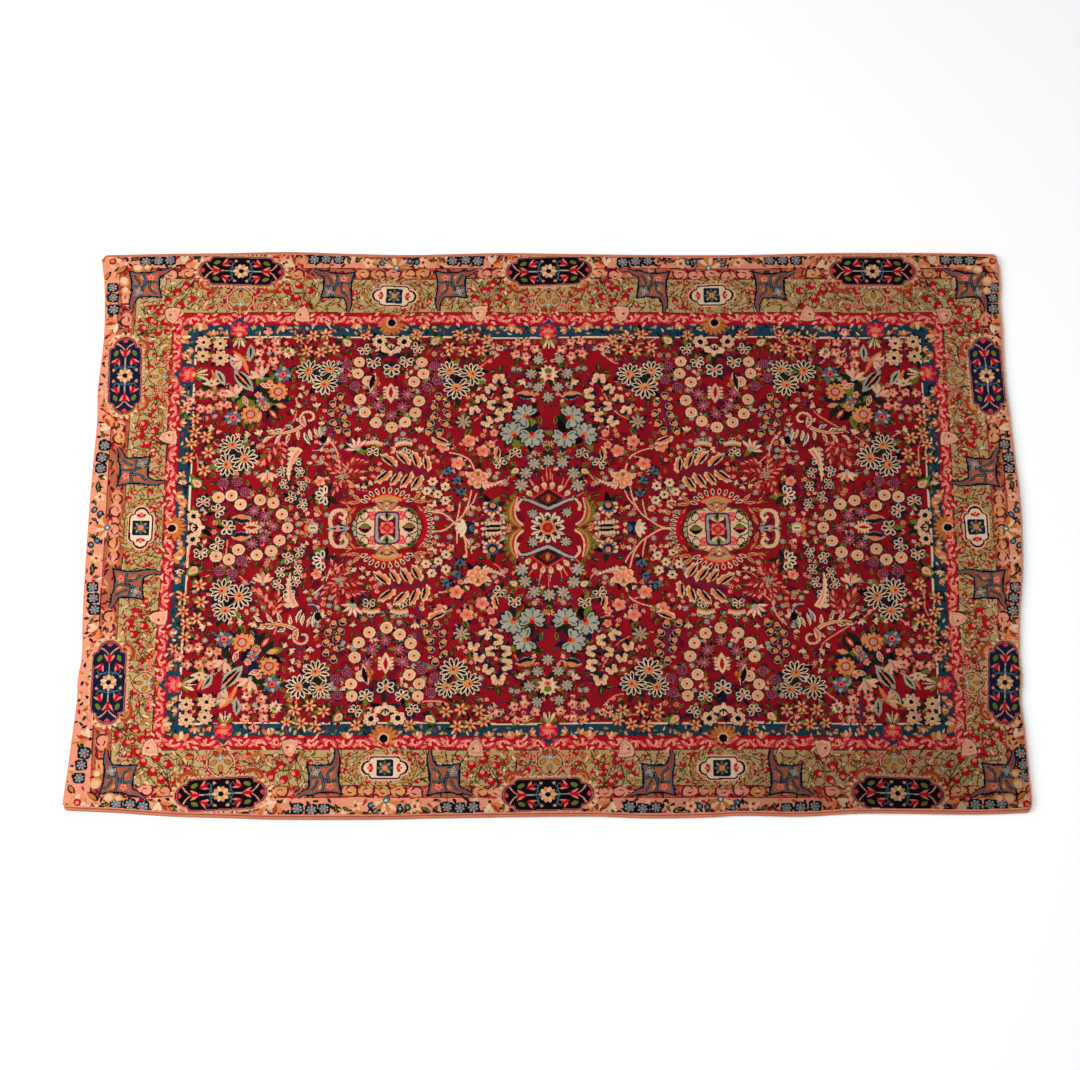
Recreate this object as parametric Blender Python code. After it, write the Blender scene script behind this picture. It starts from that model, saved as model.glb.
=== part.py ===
"""A Persian rug of the Kerman kind, lying flat on the surface under it.

Four pieces: the knotted rug itself, the overcast selvedge along each long side, and the
short worn warp ends along one end.

Frame: metres, +Z up. +X runs along the rug's length and +Y across its width. The origin
is the middle of the outer box of all four pieces, on the surface that the rug lies on.
"""
import math

import bmesh
import bpy
import numpy as np

MILLIMETRE = 0.001

# The rug as it was woven: mean lines of its outer edges.
LENGTH = 2.072
WIDTH = 1.384
CORNER_RADIUS = 0.016
GAP = 0.3 * MILLIMETRE          # between pieces that are sewn or knotted together

# The knotted rug in section.
RUG_THICKNESS = 9.0 * MILLIMETRE
PILE_ROLL = 3.0 * MILLIMETRE    # how far in, and how far down, the pile rounds over at the edge
ROLL_STEPS = 3

# The overcast selvedge in section: a flat-bottomed cord wrapped with wool.
SELVEDGE_WIDTH = 6.0 * MILLIMETRE
SELVEDGE_HEIGHT = 7.0 * MILLIMETRE
SELVEDGE_SIDES = 9

# The worn warp ends: a comb of short tufts.
TUFT_PITCH = 9.0 * MILLIMETRE
TUFT_WIDTH = 6.0 * MILLIMETRE
TUFT_THICKNESS = 3.0 * MILLIMETRE
COMB_SPINE = 2.0 * MILLIMETRE
TUFT_TAPER = 0.15               # share of its width lost on each side at the tip
TUFT_UNEVENNESS = 0.25          # share of its reach by which a tuft may fall short

SAMPLE_STEP = 0.025             # distance between outline points along a side
CORNER_STEPS = 6

# How far each outer edge stands beyond its mean line.
# Columns: place along the side from the rug's middle (m), stand-out (mm).
FAR_SIDE = (
    (-1.06, -5), (-0.89, -1), (-0.75, 1), (-0.61, 4), (-0.47, -1), (-0.33, -4), (-0.12, 1),
    (0.02, -1), (0.22, -4), (0.43, -4), (0.64, 1), (0.88, 1), (1.06, -3),
)
NEAR_SIDE = (
    (-1.06, -15), (-0.95, -10), (-0.82, -1), (-0.69, 3), (-0.60, 6), (-0.37, 6), (-0.25, 3),
    (0.08, -1), (0.20, 3), (0.33, 1), (0.40, -3), (0.53, -1), (0.66, -8), (0.91, -6), (1.06, -12),
)
LEFT_END = (
    (-0.69, 22), (-0.63, 17), (-0.58, 13), (-0.48, 6), (-0.42, 2), (-0.37, 3), (-0.32, -3),
    (-0.21, 1), (0.05, 0), (0.16, -3), (0.27, -6), (0.33, -3), (0.44, -9), (0.50, -10),
    (0.61, -4), (0.69, 8),
)
RIGHT_END = (
    (-0.69, -4), (-0.58, -8), (-0.48, -11), (-0.42, -15), (-0.37, -9), (-0.32, -11),
    (-0.21, -5), (-0.11, 6), (0.05, 11), (0.16, 6), (0.27, 1), (0.39, -4), (0.50, -2),
    (0.56, -4), (0.61, 0), (0.69, -3),
)

# How far the warp ends reach out of the right end.
# Columns: place along the end from the rug's middle (m), reach (mm).
WARP_REACH = (
    (-0.69, 4), (-0.60, 4), (-0.42, 6), (-0.30, 6), (-0.15, 4), (0.05, 4), (0.22, 6),
    (0.35, 8), (0.50, 9), (0.62, 8), (0.69, 7),
)

# Name, colour and roughness of each piece's material.
WOOL_RED = ("rug_wool", (0.36, 0.05, 0.06), 0.95)
WOOL_SALMON = ("selvedge_wool", (0.70, 0.30, 0.20), 0.9)
COTTON_CREAM = ("warp_cotton", (0.80, 0.70, 0.54), 0.95)


def table_value(rows, place):
    """Read a two-column table as a smooth curve (Catmull-Rom) at one place, in metres."""
    places = [row[0] for row in rows]
    values = [row[1] * MILLIMETRE for row in rows]
    place = min(max(place, places[0]), places[-1])
    last = len(rows) - 2
    i = min(max(int(np.searchsorted(places, place)) - 1, 0), last)
    before = max(i - 1, 0)
    after = min(i + 2, len(rows) - 1)
    span = places[i + 1] - places[i]
    t = (place - places[i]) / span
    slope_in = (values[i + 1] - values[before]) / (places[i + 1] - places[before]) * span
    slope_out = (values[after] - values[i]) / (places[after] - places[i]) * span
    start_weight = (1 + 2 * t) * (1 - t) ** 2
    end_weight = t * t * (3 - 2 * t)
    return (start_weight * values[i] + end_weight * values[i + 1]
            + t * (1 - t) ** 2 * slope_in - t * t * (1 - t) * slope_out)


def far_y(x):
    """Y of the knotted rug's far edge, inside its selvedge."""
    return WIDTH / 2 + table_value(FAR_SIDE, x) - SELVEDGE_WIDTH - GAP


def near_y(x):
    """Y of the knotted rug's near edge, inside its selvedge."""
    return -WIDTH / 2 - table_value(NEAR_SIDE, x) + SELVEDGE_WIDTH + GAP


def left_x(y):
    """X of the knotted rug's left end, where the pile runs right to the edge."""
    return -LENGTH / 2 - table_value(LEFT_END, y)


def tuft_tip_x(y):
    """X of the outermost warp ends at the right end."""
    return LENGTH / 2 + table_value(RIGHT_END, y)


def right_x(y):
    """X of the knotted rug's right end, behind the warp ends."""
    return tuft_tip_x(y) - table_value(WARP_REACH, y) - GAP


def meeting_point(end_x, side_y, x, y):
    """Where an end meets a side, from a first guess."""
    for _ in range(20):
        y = side_y(x)
        x = end_x(y)
    return x, y


def evenly(start, stop):
    """Places from start to stop, about SAMPLE_STEP apart."""
    return np.linspace(start, stop, max(2, round(abs(stop - start) / SAMPLE_STEP) + 1))


def corner_arc(before, corner, after):
    """Points inside a corner's rounding, without its two ends."""
    points = []
    for step in range(1, CORNER_STEPS):
        t = step / CORNER_STEPS
        weights = ((1 - t) ** 2, 2 * t * (1 - t), t * t)
        points.append(tuple(sum(w * p[axis] for w, p in zip(weights, (before, corner, after)))
                            for axis in (0, 1)))
    return points


def rug_outline():
    """The knotted rug's outline, anticlockwise, as named stretches of (x, y) points."""
    half_length = LENGTH / 2
    half_width = WIDTH / 2
    near_left = meeting_point(left_x, near_y, -half_length, -half_width)
    near_right = meeting_point(right_x, near_y, half_length, -half_width)
    far_right = meeting_point(right_x, far_y, half_length, half_width)
    far_left = meeting_point(left_x, far_y, -half_length, half_width)
    r = CORNER_RADIUS
    near = [(x, near_y(x)) for x in evenly(near_left[0] + r, near_right[0] - r)]
    right = [(right_x(y), y) for y in evenly(near_right[1] + r, far_right[1] - r)]
    far = [(x, far_y(x)) for x in evenly(far_right[0] - r, far_left[0] + r)]
    left = [(left_x(y), y) for y in evenly(far_left[1] - r, near_left[1] + r)]
    return {
        "near": near, "near_right": corner_arc(near[-1], near_right, right[0]),
        "right": right, "far_right": corner_arc(right[-1], far_right, far[0]),
        "far": far, "far_left": corner_arc(far[-1], far_left, left[0]),
        "left": left, "near_left": corner_arc(left[-1], near_left, near[0]),
    }


def outward_normals(points, closed):
    """Unit normals on the right-hand side of a path."""
    path = np.array(points)
    if closed:
        run = np.roll(path, -1, axis=0) - np.roll(path, 1, axis=0)
    else:
        run = np.gradient(path, axis=0)
    normals = np.stack((run[:, 1], -run[:, 0]), axis=1)
    return normals / np.linalg.norm(normals, axis=1, keepdims=True)


def add_object(name, mesh_builder, material):
    """Make a named object from a bmesh, with its own material."""
    bmesh.ops.recalc_face_normals(mesh_builder, faces=mesh_builder.faces)
    mesh = bpy.data.meshes.new(name)
    mesh_builder.to_mesh(mesh)
    mesh_builder.free()
    mesh.materials.append(material)
    piece = bpy.data.objects.new(name, mesh)
    bpy.context.collection.objects.link(piece)
    mesh.shade_smooth()
    mesh.set_sharp_from_angle(angle=math.radians(40))
    return piece


def stack_rings(rings):
    """Skin a list of equal rings of 3-D points, with a face over the first and the last."""
    builder = bmesh.new()
    loops = [[builder.verts.new(point) for point in ring] for ring in rings]
    count = len(loops[0])
    for lower, upper in zip(loops, loops[1:]):
        for i in range(count):
            j = (i + 1) % count
            builder.faces.new((lower[i], lower[j], upper[j], upper[i]))
    builder.faces.new(reversed(loops[0]))
    builder.faces.new(loops[-1])
    bmesh.ops.triangulate(builder, faces=[face for face in builder.faces if len(face.verts) > 4])
    return builder


def make_rug(outline, material):
    """The knotted rug: a flat slab whose pile rounds over at its edge."""
    points = [point for stretch in outline.values() for point in stretch]
    path = np.array(points)
    normals = outward_normals(points, closed=True)
    levels = [(0.0, 0.0)]
    for step in range(ROLL_STEPS + 1):
        turn = math.pi / 2 * step / ROLL_STEPS
        inset = PILE_ROLL * (1 - math.cos(turn))
        height = RUG_THICKNESS - PILE_ROLL + PILE_ROLL * math.sin(turn)
        levels.append((inset, height))
    rings = []
    for inset, height in levels:
        inner = path - normals * inset
        rings.append([(x, y, height) for x, y in inner])
    return add_object("knotted_rug", stack_rings(rings), material)


def selvedge_section():
    """Half-round section with a flat bottom: (outward offset, height) pairs."""
    half = SELVEDGE_WIDTH / 2
    rise = SELVEDGE_HEIGHT / 2
    section = []
    for side in range(SELVEDGE_SIDES):
        turn = 2 * math.pi * (side + 0.5) / SELVEDGE_SIDES - math.pi / 2
        height = max(0.0, rise + rise / math.cos(math.pi / SELVEDGE_SIDES) * math.sin(turn))
        section.append((half + half * math.cos(turn), min(height, SELVEDGE_HEIGHT)))
    return section


def make_selvedge(name, path_points, material):
    """One overcast selvedge, running round half of the corner at each of its ends."""
    path = np.array(path_points)
    normals = outward_normals(path_points, closed=False)
    rings = []
    for point, normal in zip(path, normals):
        ring = []
        for offset, height in selvedge_section():
            x, y = point + normal * (GAP + offset)
            ring.append((x, y, height))
        rings.append(ring)
    return add_object(name, stack_rings(rings), material)


def tuft_reach(number, y):
    """How far one tuft stands out past the comb's spine: an uneven share of the full reach."""
    unevenness = 0.5 + 0.3 * math.sin(2.9 * number) + 0.2 * math.sin(7.3 * number + 1.0)
    full = table_value(WARP_REACH, y) - COMB_SPINE
    return full * (1 - TUFT_UNEVENNESS * unevenness)


def make_warp_ends(right_stretch, material):
    """The worn warp ends: one comb of short tufts along the right end."""
    edge_x = [x + GAP for x, y in right_stretch]
    edge_y = [y for x, y in right_stretch]
    tufts = int((edge_y[-1] - edge_y[0]) / TUFT_PITCH)
    start = (edge_y[0] + edge_y[-1] - tufts * TUFT_PITCH) / 2
    taper = TUFT_WIDTH * TUFT_TAPER
    builder = bmesh.new()
    spine = []
    for number in range(tufts):
        foot = start + number * TUFT_PITCH + (TUFT_PITCH - TUFT_WIDTH) / 2
        reach = tuft_reach(number, foot)
        root = []
        for y in (foot, foot + TUFT_WIDTH):
            x = float(np.interp(y, edge_y, edge_x))
            root.append((builder.verts.new((x, y, 0.0)), builder.verts.new((x + COMB_SPINE, y, 0.0))))
        tip = [builder.verts.new((outer.co.x + reach, outer.co.y + shift, 0.0))
               for (inner, outer), shift in zip(root, (taper, -taper))]
        builder.faces.new((root[0][1], tip[0], tip[1], root[1][1]))
        spine += root
    for (inner, outer), (next_inner, next_outer) in zip(spine, spine[1:]):
        builder.faces.new((inner, outer, next_outer, next_inner))
    raised = bmesh.ops.extrude_face_region(builder, geom=builder.faces[:], use_keep_orig=True)
    top = [item for item in raised["geom"] if isinstance(item, bmesh.types.BMVert)]
    bmesh.ops.translate(builder, verts=top, vec=(0.0, 0.0, TUFT_THICKNESS))
    return add_object("warp_ends", builder, material)


def make_material(name, colour, roughness):
    """A plain wool or cotton surface."""
    material = bpy.data.materials.new(name)
    material.use_nodes = True
    shader = material.node_tree.nodes["Principled BSDF"]
    shader.inputs["Base Color"].default_value = (*colour, 1.0)
    shader.inputs["Roughness"].default_value = roughness
    shader.inputs["Metallic"].default_value = 0.0
    return material


def centre_on_origin(pieces):
    """Move every vertex so that the outer box of all the pieces has its middle over the origin."""
    corners = np.array([vertex.co[:] for piece in pieces for vertex in piece.data.vertices])
    middle = (corners.min(axis=0) + corners.max(axis=0)) / 2
    for piece in pieces:
        for vertex in piece.data.vertices:
            vertex.co.x -= middle[0]
            vertex.co.y -= middle[1]


def main():
    for old in list(bpy.data.objects):
        bpy.data.objects.remove(old)
    outline = rug_outline()
    half_arc = CORNER_STEPS // 2
    near_path = outline["near_left"][-half_arc:] + outline["near"] + outline["near_right"][:half_arc]
    far_path = outline["far_right"][-half_arc:] + outline["far"] + outline["far_left"][:half_arc]
    salmon = make_material(*WOOL_SALMON)
    pieces = [
        make_rug(outline, make_material(*WOOL_RED)),
        make_selvedge("selvedge_near", near_path, salmon),
        make_selvedge("selvedge_far", far_path, salmon.copy()),
        make_warp_ends(outline["right"], make_material(*COTTON_CREAM)),
    ]
    centre_on_origin(pieces)


main()
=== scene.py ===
"""The looks of the Persian rug: its knotted design, pile, back, selvedges and warp ends.

The design is drawn as a weaver's chart draws it: one quarter, in centimetres, which is
mirrored to the four quarters of the rug and fitted to the outline of the CAD model. Every
motif is a short function made of petals, leaves, rings and strokes. The shapes are laid
over one another on a grid of knots, and each knot takes the wool of the topmost one.
"""
import math

import bpy
import numpy as np
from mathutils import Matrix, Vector


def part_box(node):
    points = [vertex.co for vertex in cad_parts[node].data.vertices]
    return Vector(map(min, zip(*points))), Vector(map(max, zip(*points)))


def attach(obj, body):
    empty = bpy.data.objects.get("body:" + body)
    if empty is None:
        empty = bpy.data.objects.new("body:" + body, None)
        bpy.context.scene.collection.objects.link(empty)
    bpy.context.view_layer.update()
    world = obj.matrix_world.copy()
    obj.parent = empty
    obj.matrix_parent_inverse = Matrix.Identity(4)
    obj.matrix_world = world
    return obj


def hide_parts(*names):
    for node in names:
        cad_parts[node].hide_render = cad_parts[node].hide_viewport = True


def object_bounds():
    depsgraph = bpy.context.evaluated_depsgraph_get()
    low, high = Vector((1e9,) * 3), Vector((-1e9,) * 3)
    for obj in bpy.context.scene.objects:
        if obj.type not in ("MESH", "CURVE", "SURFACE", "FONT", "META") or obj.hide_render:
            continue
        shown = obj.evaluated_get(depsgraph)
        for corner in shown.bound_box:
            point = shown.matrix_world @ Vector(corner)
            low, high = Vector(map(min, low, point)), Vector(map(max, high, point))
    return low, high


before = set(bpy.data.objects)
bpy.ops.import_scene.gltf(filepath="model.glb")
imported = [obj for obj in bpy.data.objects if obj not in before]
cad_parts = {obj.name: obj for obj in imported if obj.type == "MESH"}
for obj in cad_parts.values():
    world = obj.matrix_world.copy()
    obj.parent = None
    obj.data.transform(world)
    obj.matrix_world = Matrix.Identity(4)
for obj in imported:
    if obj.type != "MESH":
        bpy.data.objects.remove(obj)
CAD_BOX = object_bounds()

CM = 0.01
MM = 0.001

# ---------------------------------------------------------------- wools
# The dyed wools, as 8-bit sRGB.
WOOL = {
    "crimson": (131, 11, 20), "wine": (92, 8, 28), "red": (158, 10, 24), "rose": (200, 52, 58),
    "pink": (206, 110, 90), "salmon": (200, 126, 98), "blush": (208, 148, 116),
    "cream": (202, 160, 124), "ivory": (204, 174, 142), "tan": (188, 126, 76),
    "ochre": (172, 100, 42), "orange": (196, 106, 54), "rust": (142, 54, 32),
    "sage": (162, 134, 88), "leaf": (92, 98, 30), "moss": (24, 28, 14),
    "navy": (14, 22, 44), "ink": (10, 6, 12), "teal": (22, 52, 66), "slate": (62, 88, 102),
    "grey": (150, 140, 120), "mauve": (152, 78, 88), "purple": (84, 28, 56),
    "brown": (58, 28, 16), "mist": (134, 136, 120), "clay": (150, 82, 54),
}
GROUND = ("crimson",)           # wools whose knots take the field's purplish shading


def linear(rgb):
    """8-bit sRGB to linear light."""
    channel = np.asarray(rgb, float) / 255
    return np.where(channel <= 0.04045, channel / 12.92, ((channel + 0.055) / 1.055) ** 2.4)


WOOL_NAMES = list(WOOL)
WOOL_LIGHT = np.array([linear(WOOL[name]) for name in WOOL_NAMES])

# ---------------------------------------------------------------- the chart and the rug
# The chart's own centimetres run outward from the rug's middle along its length and width.
MID_X, MID_Y = 1.2, -1.0        # the central rosette's place on the chart
FIELD_X, FIELD_Y = 81.2, 46.9   # the field's edges
STRIP_X = 96.0                  # the scroll strip beside the ends
GUARD_X, GUARD_Y = 99.8, 65.2   # the guard's inner line
OUTER_X, OUTER_Y = 103.2, 68.7  # the rug's edges

# Where the field came out on the finished rug, in metres from the CAD frame's origin.
FIELD_LEFT, FIELD_RIGHT = -0.8070, 0.8410
FIELD_NEAR, FIELD_FAR = -0.4760, 0.4700
ROSETTE_X, ROSETTE_Y = -0.0070, -0.0090
STRIP_RIGHT = 0.9850            # the scroll strip came out narrow at the right end
GUARD_LEFT, GUARD_NEAR, GUARD_FAR = -0.9930, -0.6490, 0.6520

OUTSIDE = 6.0                   # how far the drawing runs past the rug's edges, in cm


def cad_ring(node):
    """The top outline of a flat CAD node, as x and y of its vertices."""
    mesh = bpy.data.objects[node].data
    points = np.array([vertex.co[:] for vertex in mesh.vertices])
    top = points[points[:, 2] > points[:, 2].max() - 0.05 * MM]
    return np.unique(np.round(top[:, :2], 6), axis=0)


def edge_reader(ring, axis, sign):
    """How far out the rug's edge lies on one side, as a function of the place along it."""
    across, along = ring[:, axis] * sign, ring[:, 1 - axis]
    near_edge = across > across.max() - 0.045
    order = np.argsort(along[near_edge])
    places, reach = along[near_edge][order], across[near_edge][order]
    return lambda at: sign * np.interp(at, places, reach)


def in_order(ring):
    """The ring's points in order round the rug's middle."""
    turn = np.arctan2(ring[:, 1] * (OUTER_X / OUTER_Y), ring[:, 0])
    return ring[np.argsort(turn)]


RING = cad_ring("knotted_rug")
LEFT_EDGE, RIGHT_EDGE = edge_reader(RING, 0, -1), edge_reader(RING, 0, 1)
NEAR_EDGE, FAR_EDGE = edge_reader(RING, 1, -1), edge_reader(RING, 1, 1)


def between(value, stops, places):
    """Straight-line interpolation through some stops, carried on past the outer ones."""
    out = None
    for low in range(len(stops) - 1):
        share = (value - stops[low]) / (stops[low + 1] - stops[low])
        here = places[low] + share * (places[low + 1] - places[low])
        out = here if out is None else np.where(value >= stops[low], here, out)
    return out


X_STOPS = (MID_X - OUTER_X, MID_X - GUARD_X, MID_X - FIELD_X, 0.0, FIELD_X - MID_X, STRIP_X - MID_X,
           OUTER_X - MID_X)
Y_STOPS = (MID_Y - OUTER_Y, MID_Y - GUARD_Y, MID_Y - FIELD_Y, 0.0, FIELD_Y - MID_Y, GUARD_Y - MID_Y,
           OUTER_Y - MID_Y)


def unevenness(u, v):
    """The small drift of a hand-knotted drawing, in metres."""
    dx = 0.9 * np.sin(0.071 * u + 1.3) * np.cos(0.093 * v) + 0.7 * np.sin(0.19 * v + 0.11 * u)
    dy = 0.9 * np.cos(0.083 * u + 0.4) * np.sin(0.079 * v + 2.0) + 0.7 * np.sin(0.17 * u - 0.13 * v)
    return dx * 1.4 * MM, dy * 1.4 * MM


def on_rug(u, v):
    """Signed chart distances from the rosette, in cm, to the rug's x and y, in metres."""
    x_inner = (GUARD_LEFT, FIELD_LEFT, ROSETTE_X, FIELD_RIGHT, STRIP_RIGHT)
    y_inner = (GUARD_NEAR, FIELD_NEAR, ROSETTE_Y, FIELD_FAR, GUARD_FAR)
    x = between(u, X_STOPS, (-OUTER_X * CM, *x_inner, OUTER_X * CM))
    y = between(v, Y_STOPS, (-OUTER_Y * CM, *y_inner, OUTER_Y * CM))
    for _ in range(2):
        x_places = (LEFT_EDGE(y), *x_inner, RIGHT_EDGE(y))
        y_places = (NEAR_EDGE(x), *y_inner, FAR_EDGE(x))
        x, y = between(u, X_STOPS, x_places), between(v, Y_STOPS, y_places)
    dx, dy = unevenness(u, v)
    falloff = np.clip(np.minimum(X_STOPS[-1] - np.abs(u), Y_STOPS[-1] - np.abs(v)) / 6.0, 0.0, 1.0)
    return x + dx * falloff, y + dy * falloff


# ---------------------------------------------------------------- drawing
def spin(degrees):
    return complex(math.cos(math.radians(degrees)), math.sin(math.radians(degrees)))


class Pen:
    """Draws filled shapes at a place, turn and size. Points are complex numbers."""

    def __init__(self, shapes, rng, origin=0j, arm=1 + 0j, mirrored=False):
        self.shapes, self.rng = shapes, rng
        self.origin, self.arm, self.mirrored = origin, arm, mirrored

    def spot(self, points):
        return self.origin + self.arm * (np.conj(points) if self.mirrored else points)

    def at(self, x, y, turn=0.0, size=1.0, flip=False):
        arm = self.arm * size * spin(-turn if self.mirrored else turn)
        return Pen(self.shapes, self.rng, complex(self.spot(complex(x, y))), arm, self.mirrored ^ flip)

    def toward(self, along, across):
        """This pen facing the quarter that the two signs name."""
        return Pen(self.shapes, self.rng, self.origin, self.arm * along,
                   self.mirrored ^ (along * across < 0))

    def fill(self, points, wool):
        self.shapes.append((self.spot(np.asarray(points)), wool))


def oval(rx, ry=None, sides=9, turn=0.0):
    angle = 2 * np.pi * (np.arange(sides) + 0.5) / sides
    return (rx * np.cos(angle) + 1j * (rx if ry is None else ry) * np.sin(angle)) * spin(turn)


PETAL = np.array([-0.10j, 0.34 - 0.36j, 0.68 - 0.5j, 0.93 - 0.27j, 1.0, 0.93 + 0.27j, 0.68 + 0.5j,
                  0.34 + 0.36j, 0.10j])
BLADE = np.array([0.0, 0.25 - 0.36j, 0.5 - 0.5j, 0.78 - 0.3j, 1.0, 0.78 + 0.3j, 0.5 + 0.5j,
                  0.25 + 0.36j])


def petal(length, width):
    """A round-ended petal from its foot at the origin."""
    return PETAL.real * length + 1j * PETAL.imag * width


def blade(length, width, bend=0.0):
    """A leaf pointed at both ends, bent sideways by a share of its length."""
    x = BLADE.real
    return x * length + 1j * (BLADE.imag * width + bend * length * x * x)


def box(half_x, half_y, corner=0.0):
    """A rectangle about the origin, with cut corners if asked."""
    if not corner:
        return np.array([-half_x - 1j * half_y, half_x - 1j * half_y, half_x + 1j * half_y,
                         -half_x + 1j * half_y])
    a, b, c = half_x - corner, half_y - corner, corner * 0.3
    one = [half_x + 1j * b, half_x - c + 1j * (half_y - c), a + 1j * half_y]
    two = [-point.conjugate() for point in reversed(one)]
    return np.array(one + two + [-point for point in one] + [-point for point in two])


def smooth(route, per_span=4):
    """A Catmull-Rom curve through a few route points."""
    knots = [2 * route[0] - route[1], *route, 2 * route[-1] - route[-2]]
    share = np.linspace(0, 1, per_span, endpoint=False)
    parts = []
    for a, b, c, d in zip(knots, knots[1:], knots[2:], knots[3:]):
        parts.append(0.5 * (2 * b + (c - a) * share + (2 * a - 5 * b + 4 * c - d) * share ** 2
                            + (3 * b - a - 3 * c + d) * share ** 3))
    return np.append(np.concatenate(parts), knots[-2])


def stroke(route, width, end_width=None, per_span=4):
    """A curved line of some width, as one closed shape."""
    line = smooth([complex(*point) for point in route], per_span)
    run = np.gradient(line)
    side = 1j * run / np.abs(run)
    half = np.linspace(width, width if end_width is None else end_width, len(line)) / 2
    return np.concatenate((line + side * half, (line - side * half)[::-1]))


def coil(radius, turns, width, end_width, start=0.0):
    """A spiral stroke that winds in from its outer end."""
    steps = np.linspace(0, 1, int(11 * turns) + 2)
    line = radius * (1 - 0.72 * steps) * np.exp(1j * (2 * np.pi * turns * steps + math.radians(start)))
    run = np.gradient(line)
    side = 1j * run / np.abs(run)
    half = (width + (end_width - width) * steps) / 2
    return np.concatenate((line + side * half, (line - side * half)[::-1]))


# ---------------------------------------------------------------- small motifs
def flower(pen, petals=8, wool="cream", heart="ink", core=None, edge=None, reach=1.0, width=0.56,
           heart_size=0.26, opening=0.0, shape=petal):
    """Petals round a heart. An opening leaves a gap of that many degrees at the foot."""
    for i in range(petals):
        if opening:
            turn = (i + 0.5) * (360 - opening) / petals - (360 - opening) / 2
        else:
            turn = i * 360 / petals
        part = pen.at(0, 0, turn)
        if edge:
            part.fill(shape(reach * 1.08, width * 1.4), edge)
        part.fill(shape(reach, width), wool)
        if core:
            part.at(0.34 * reach, 0).fill(shape(0.5 * reach, 0.48 * width), core)
    pen.fill(oval(heart_size), heart)


def cream_star(pen):
    flower(pen, 8, "cream", "ink", core="tan", width=0.5, heart_size=0.25)


def daisy(pen):
    """Black petals edged in ivory, in a wide fan round an orange heart."""
    for i in range(10):
        part = pen.at(0, 0, -135 + 30 * i)
        part.at(0.1, 0).fill(petal(0.96, 0.36), "ivory")
        part.at(0.28, 0).fill(petal(0.66, 0.22), "ink")
    pen.fill(oval(0.32, 0.38), "orange")
    pen.at(-0.1, 0).fill(oval(0.22), "tan")
    pen.at(0.08, 0.05).fill(oval(0.12), "red")


def disc(pen):
    pen.fill(oval(1.0, sides=14), "cream")
    pen.fill(oval(0.66, sides=10), "tan")
    pen.fill(oval(0.52, sides=9), "cream")
    pen.fill(oval(0.30, sides=7), "orange")
    pen.fill(oval(0.22, sides=6), "red")


def ring_rosette(pen):
    for i in range(12):
        pen.at(0, 0, 30 * i).fill(petal(1.0, 0.36), "mauve")
    pen.fill(oval(0.74, sides=12), "purple")
    pen.fill(oval(0.5, sides=9), "mauve")
    pen.fill(oval(0.4, sides=8), "wine")
    pen.fill(oval(0.14, sides=5), "pink")


def dark_aster(pen):
    flower(pen, 9, "mauve", "pink", edge="wine", width=0.26, heart_size=0.2)


def grey_aster(pen):
    flower(pen, 8, "grey", "pink", edge="moss", width=0.42, heart_size=0.22)


def small_star(pen):
    flower(pen, 6, "tan", "red", core="cream", edge="rust", width=0.38, heart_size=0.26)


def bell(pen):
    pen.fill(oval(1.12, 0.95), "wine")
    pen.at(0.3, 0).fill(oval(0.72, 0.8), "grey")
    pen.at(0.38, 0).fill(oval(0.5, 0.62), "ink")
    pen.at(-0.25, 0).fill(oval(0.62, 0.58), "tan")
    pen.at(-0.3, 0).fill(oval(0.34), "orange")


def pink_carnation(pen):
    for turn in (20, 100, 180, 260, 340):
        pen.at(0, 0, turn).fill(petal(1.0, 0.8), "pink")
    pen.at(-0.1, 0).fill(oval(0.55, 0.5), "cream")
    pen.at(0.12, 0.1).fill(oval(0.26), "red")


def blossom(pen):
    for turn in (-110, -45, 35, 105):
        pen.at(0, 0, turn).fill(petal(1.0, 0.86), "cream")
        pen.at(0, 0, turn).at(0.3, 0).fill(petal(0.4, 0.2), "tan")
    pen.fill(oval(0.28), "ochre")
    pen.at(-0.45, 0).fill(oval(0.42, 0.3), "navy")


def dot_flower(pen):
    for i in range(6):
        pen.at(0, 0, 60 * i).fill(petal(1.0, 0.74), "cream")
    pen.fill(oval(0.5), "cream")
    pen.fill(oval(0.27, sides=7), "ink")


def white_flower(pen):
    for turn in (-116, -58, 0, 58, 116):
        part = pen.at(0, 0, turn)
        part.fill(petal(1.1, 0.84), "moss")
        part.fill(petal(1.0, 0.66), "ivory")
        part.at(0.28, 0).fill(petal(0.6, 0.36), "navy")
    pen.fill(oval(0.26), "orange")


def fan_flower(pen):
    """Wide grey petals parted by dark lines, open like a fan."""
    for turn in range(-120, 121, 30):
        pen.at(0, 0, turn).fill(petal(1.08, 0.66), "ink")
    for turn in range(-120, 121, 30):
        pen.at(0, 0, turn).fill(petal(1.0, 0.44), "grey")
    for turn in range(-120, 121, 60):
        pen.at(0, 0, turn).at(0.3, 0).fill(petal(0.55, 0.16), "slate")
    pen.fill(oval(0.24), "ochre")
    pen.at(-0.2, 0).fill(oval(0.18), "red")


def navy_fan(pen):
    flower(pen, 6, "ivory", "rust", core="navy", width=0.46, opening=150, heart_size=0.2)


def rose(pen):
    for turn in (0, 72, 144, 216, 288):
        pen.at(0, 0, turn).fill(petal(1.0, 0.84), "blush" if turn % 144 else "pink")
    pen.fill(oval(0.62), "pink")
    pen.fill(oval(0.44, 0.36), "orange")
    pen.fill(oval(0.2), "rose")


def blue_bud(pen):
    for turn in (-38, 0, 38):
        pen.at(-0.6, 0, turn).fill(petal(1.5, 0.6), "slate")
    pen.at(-0.5, 0).fill(petal(1.0, 0.4), "navy")


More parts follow.
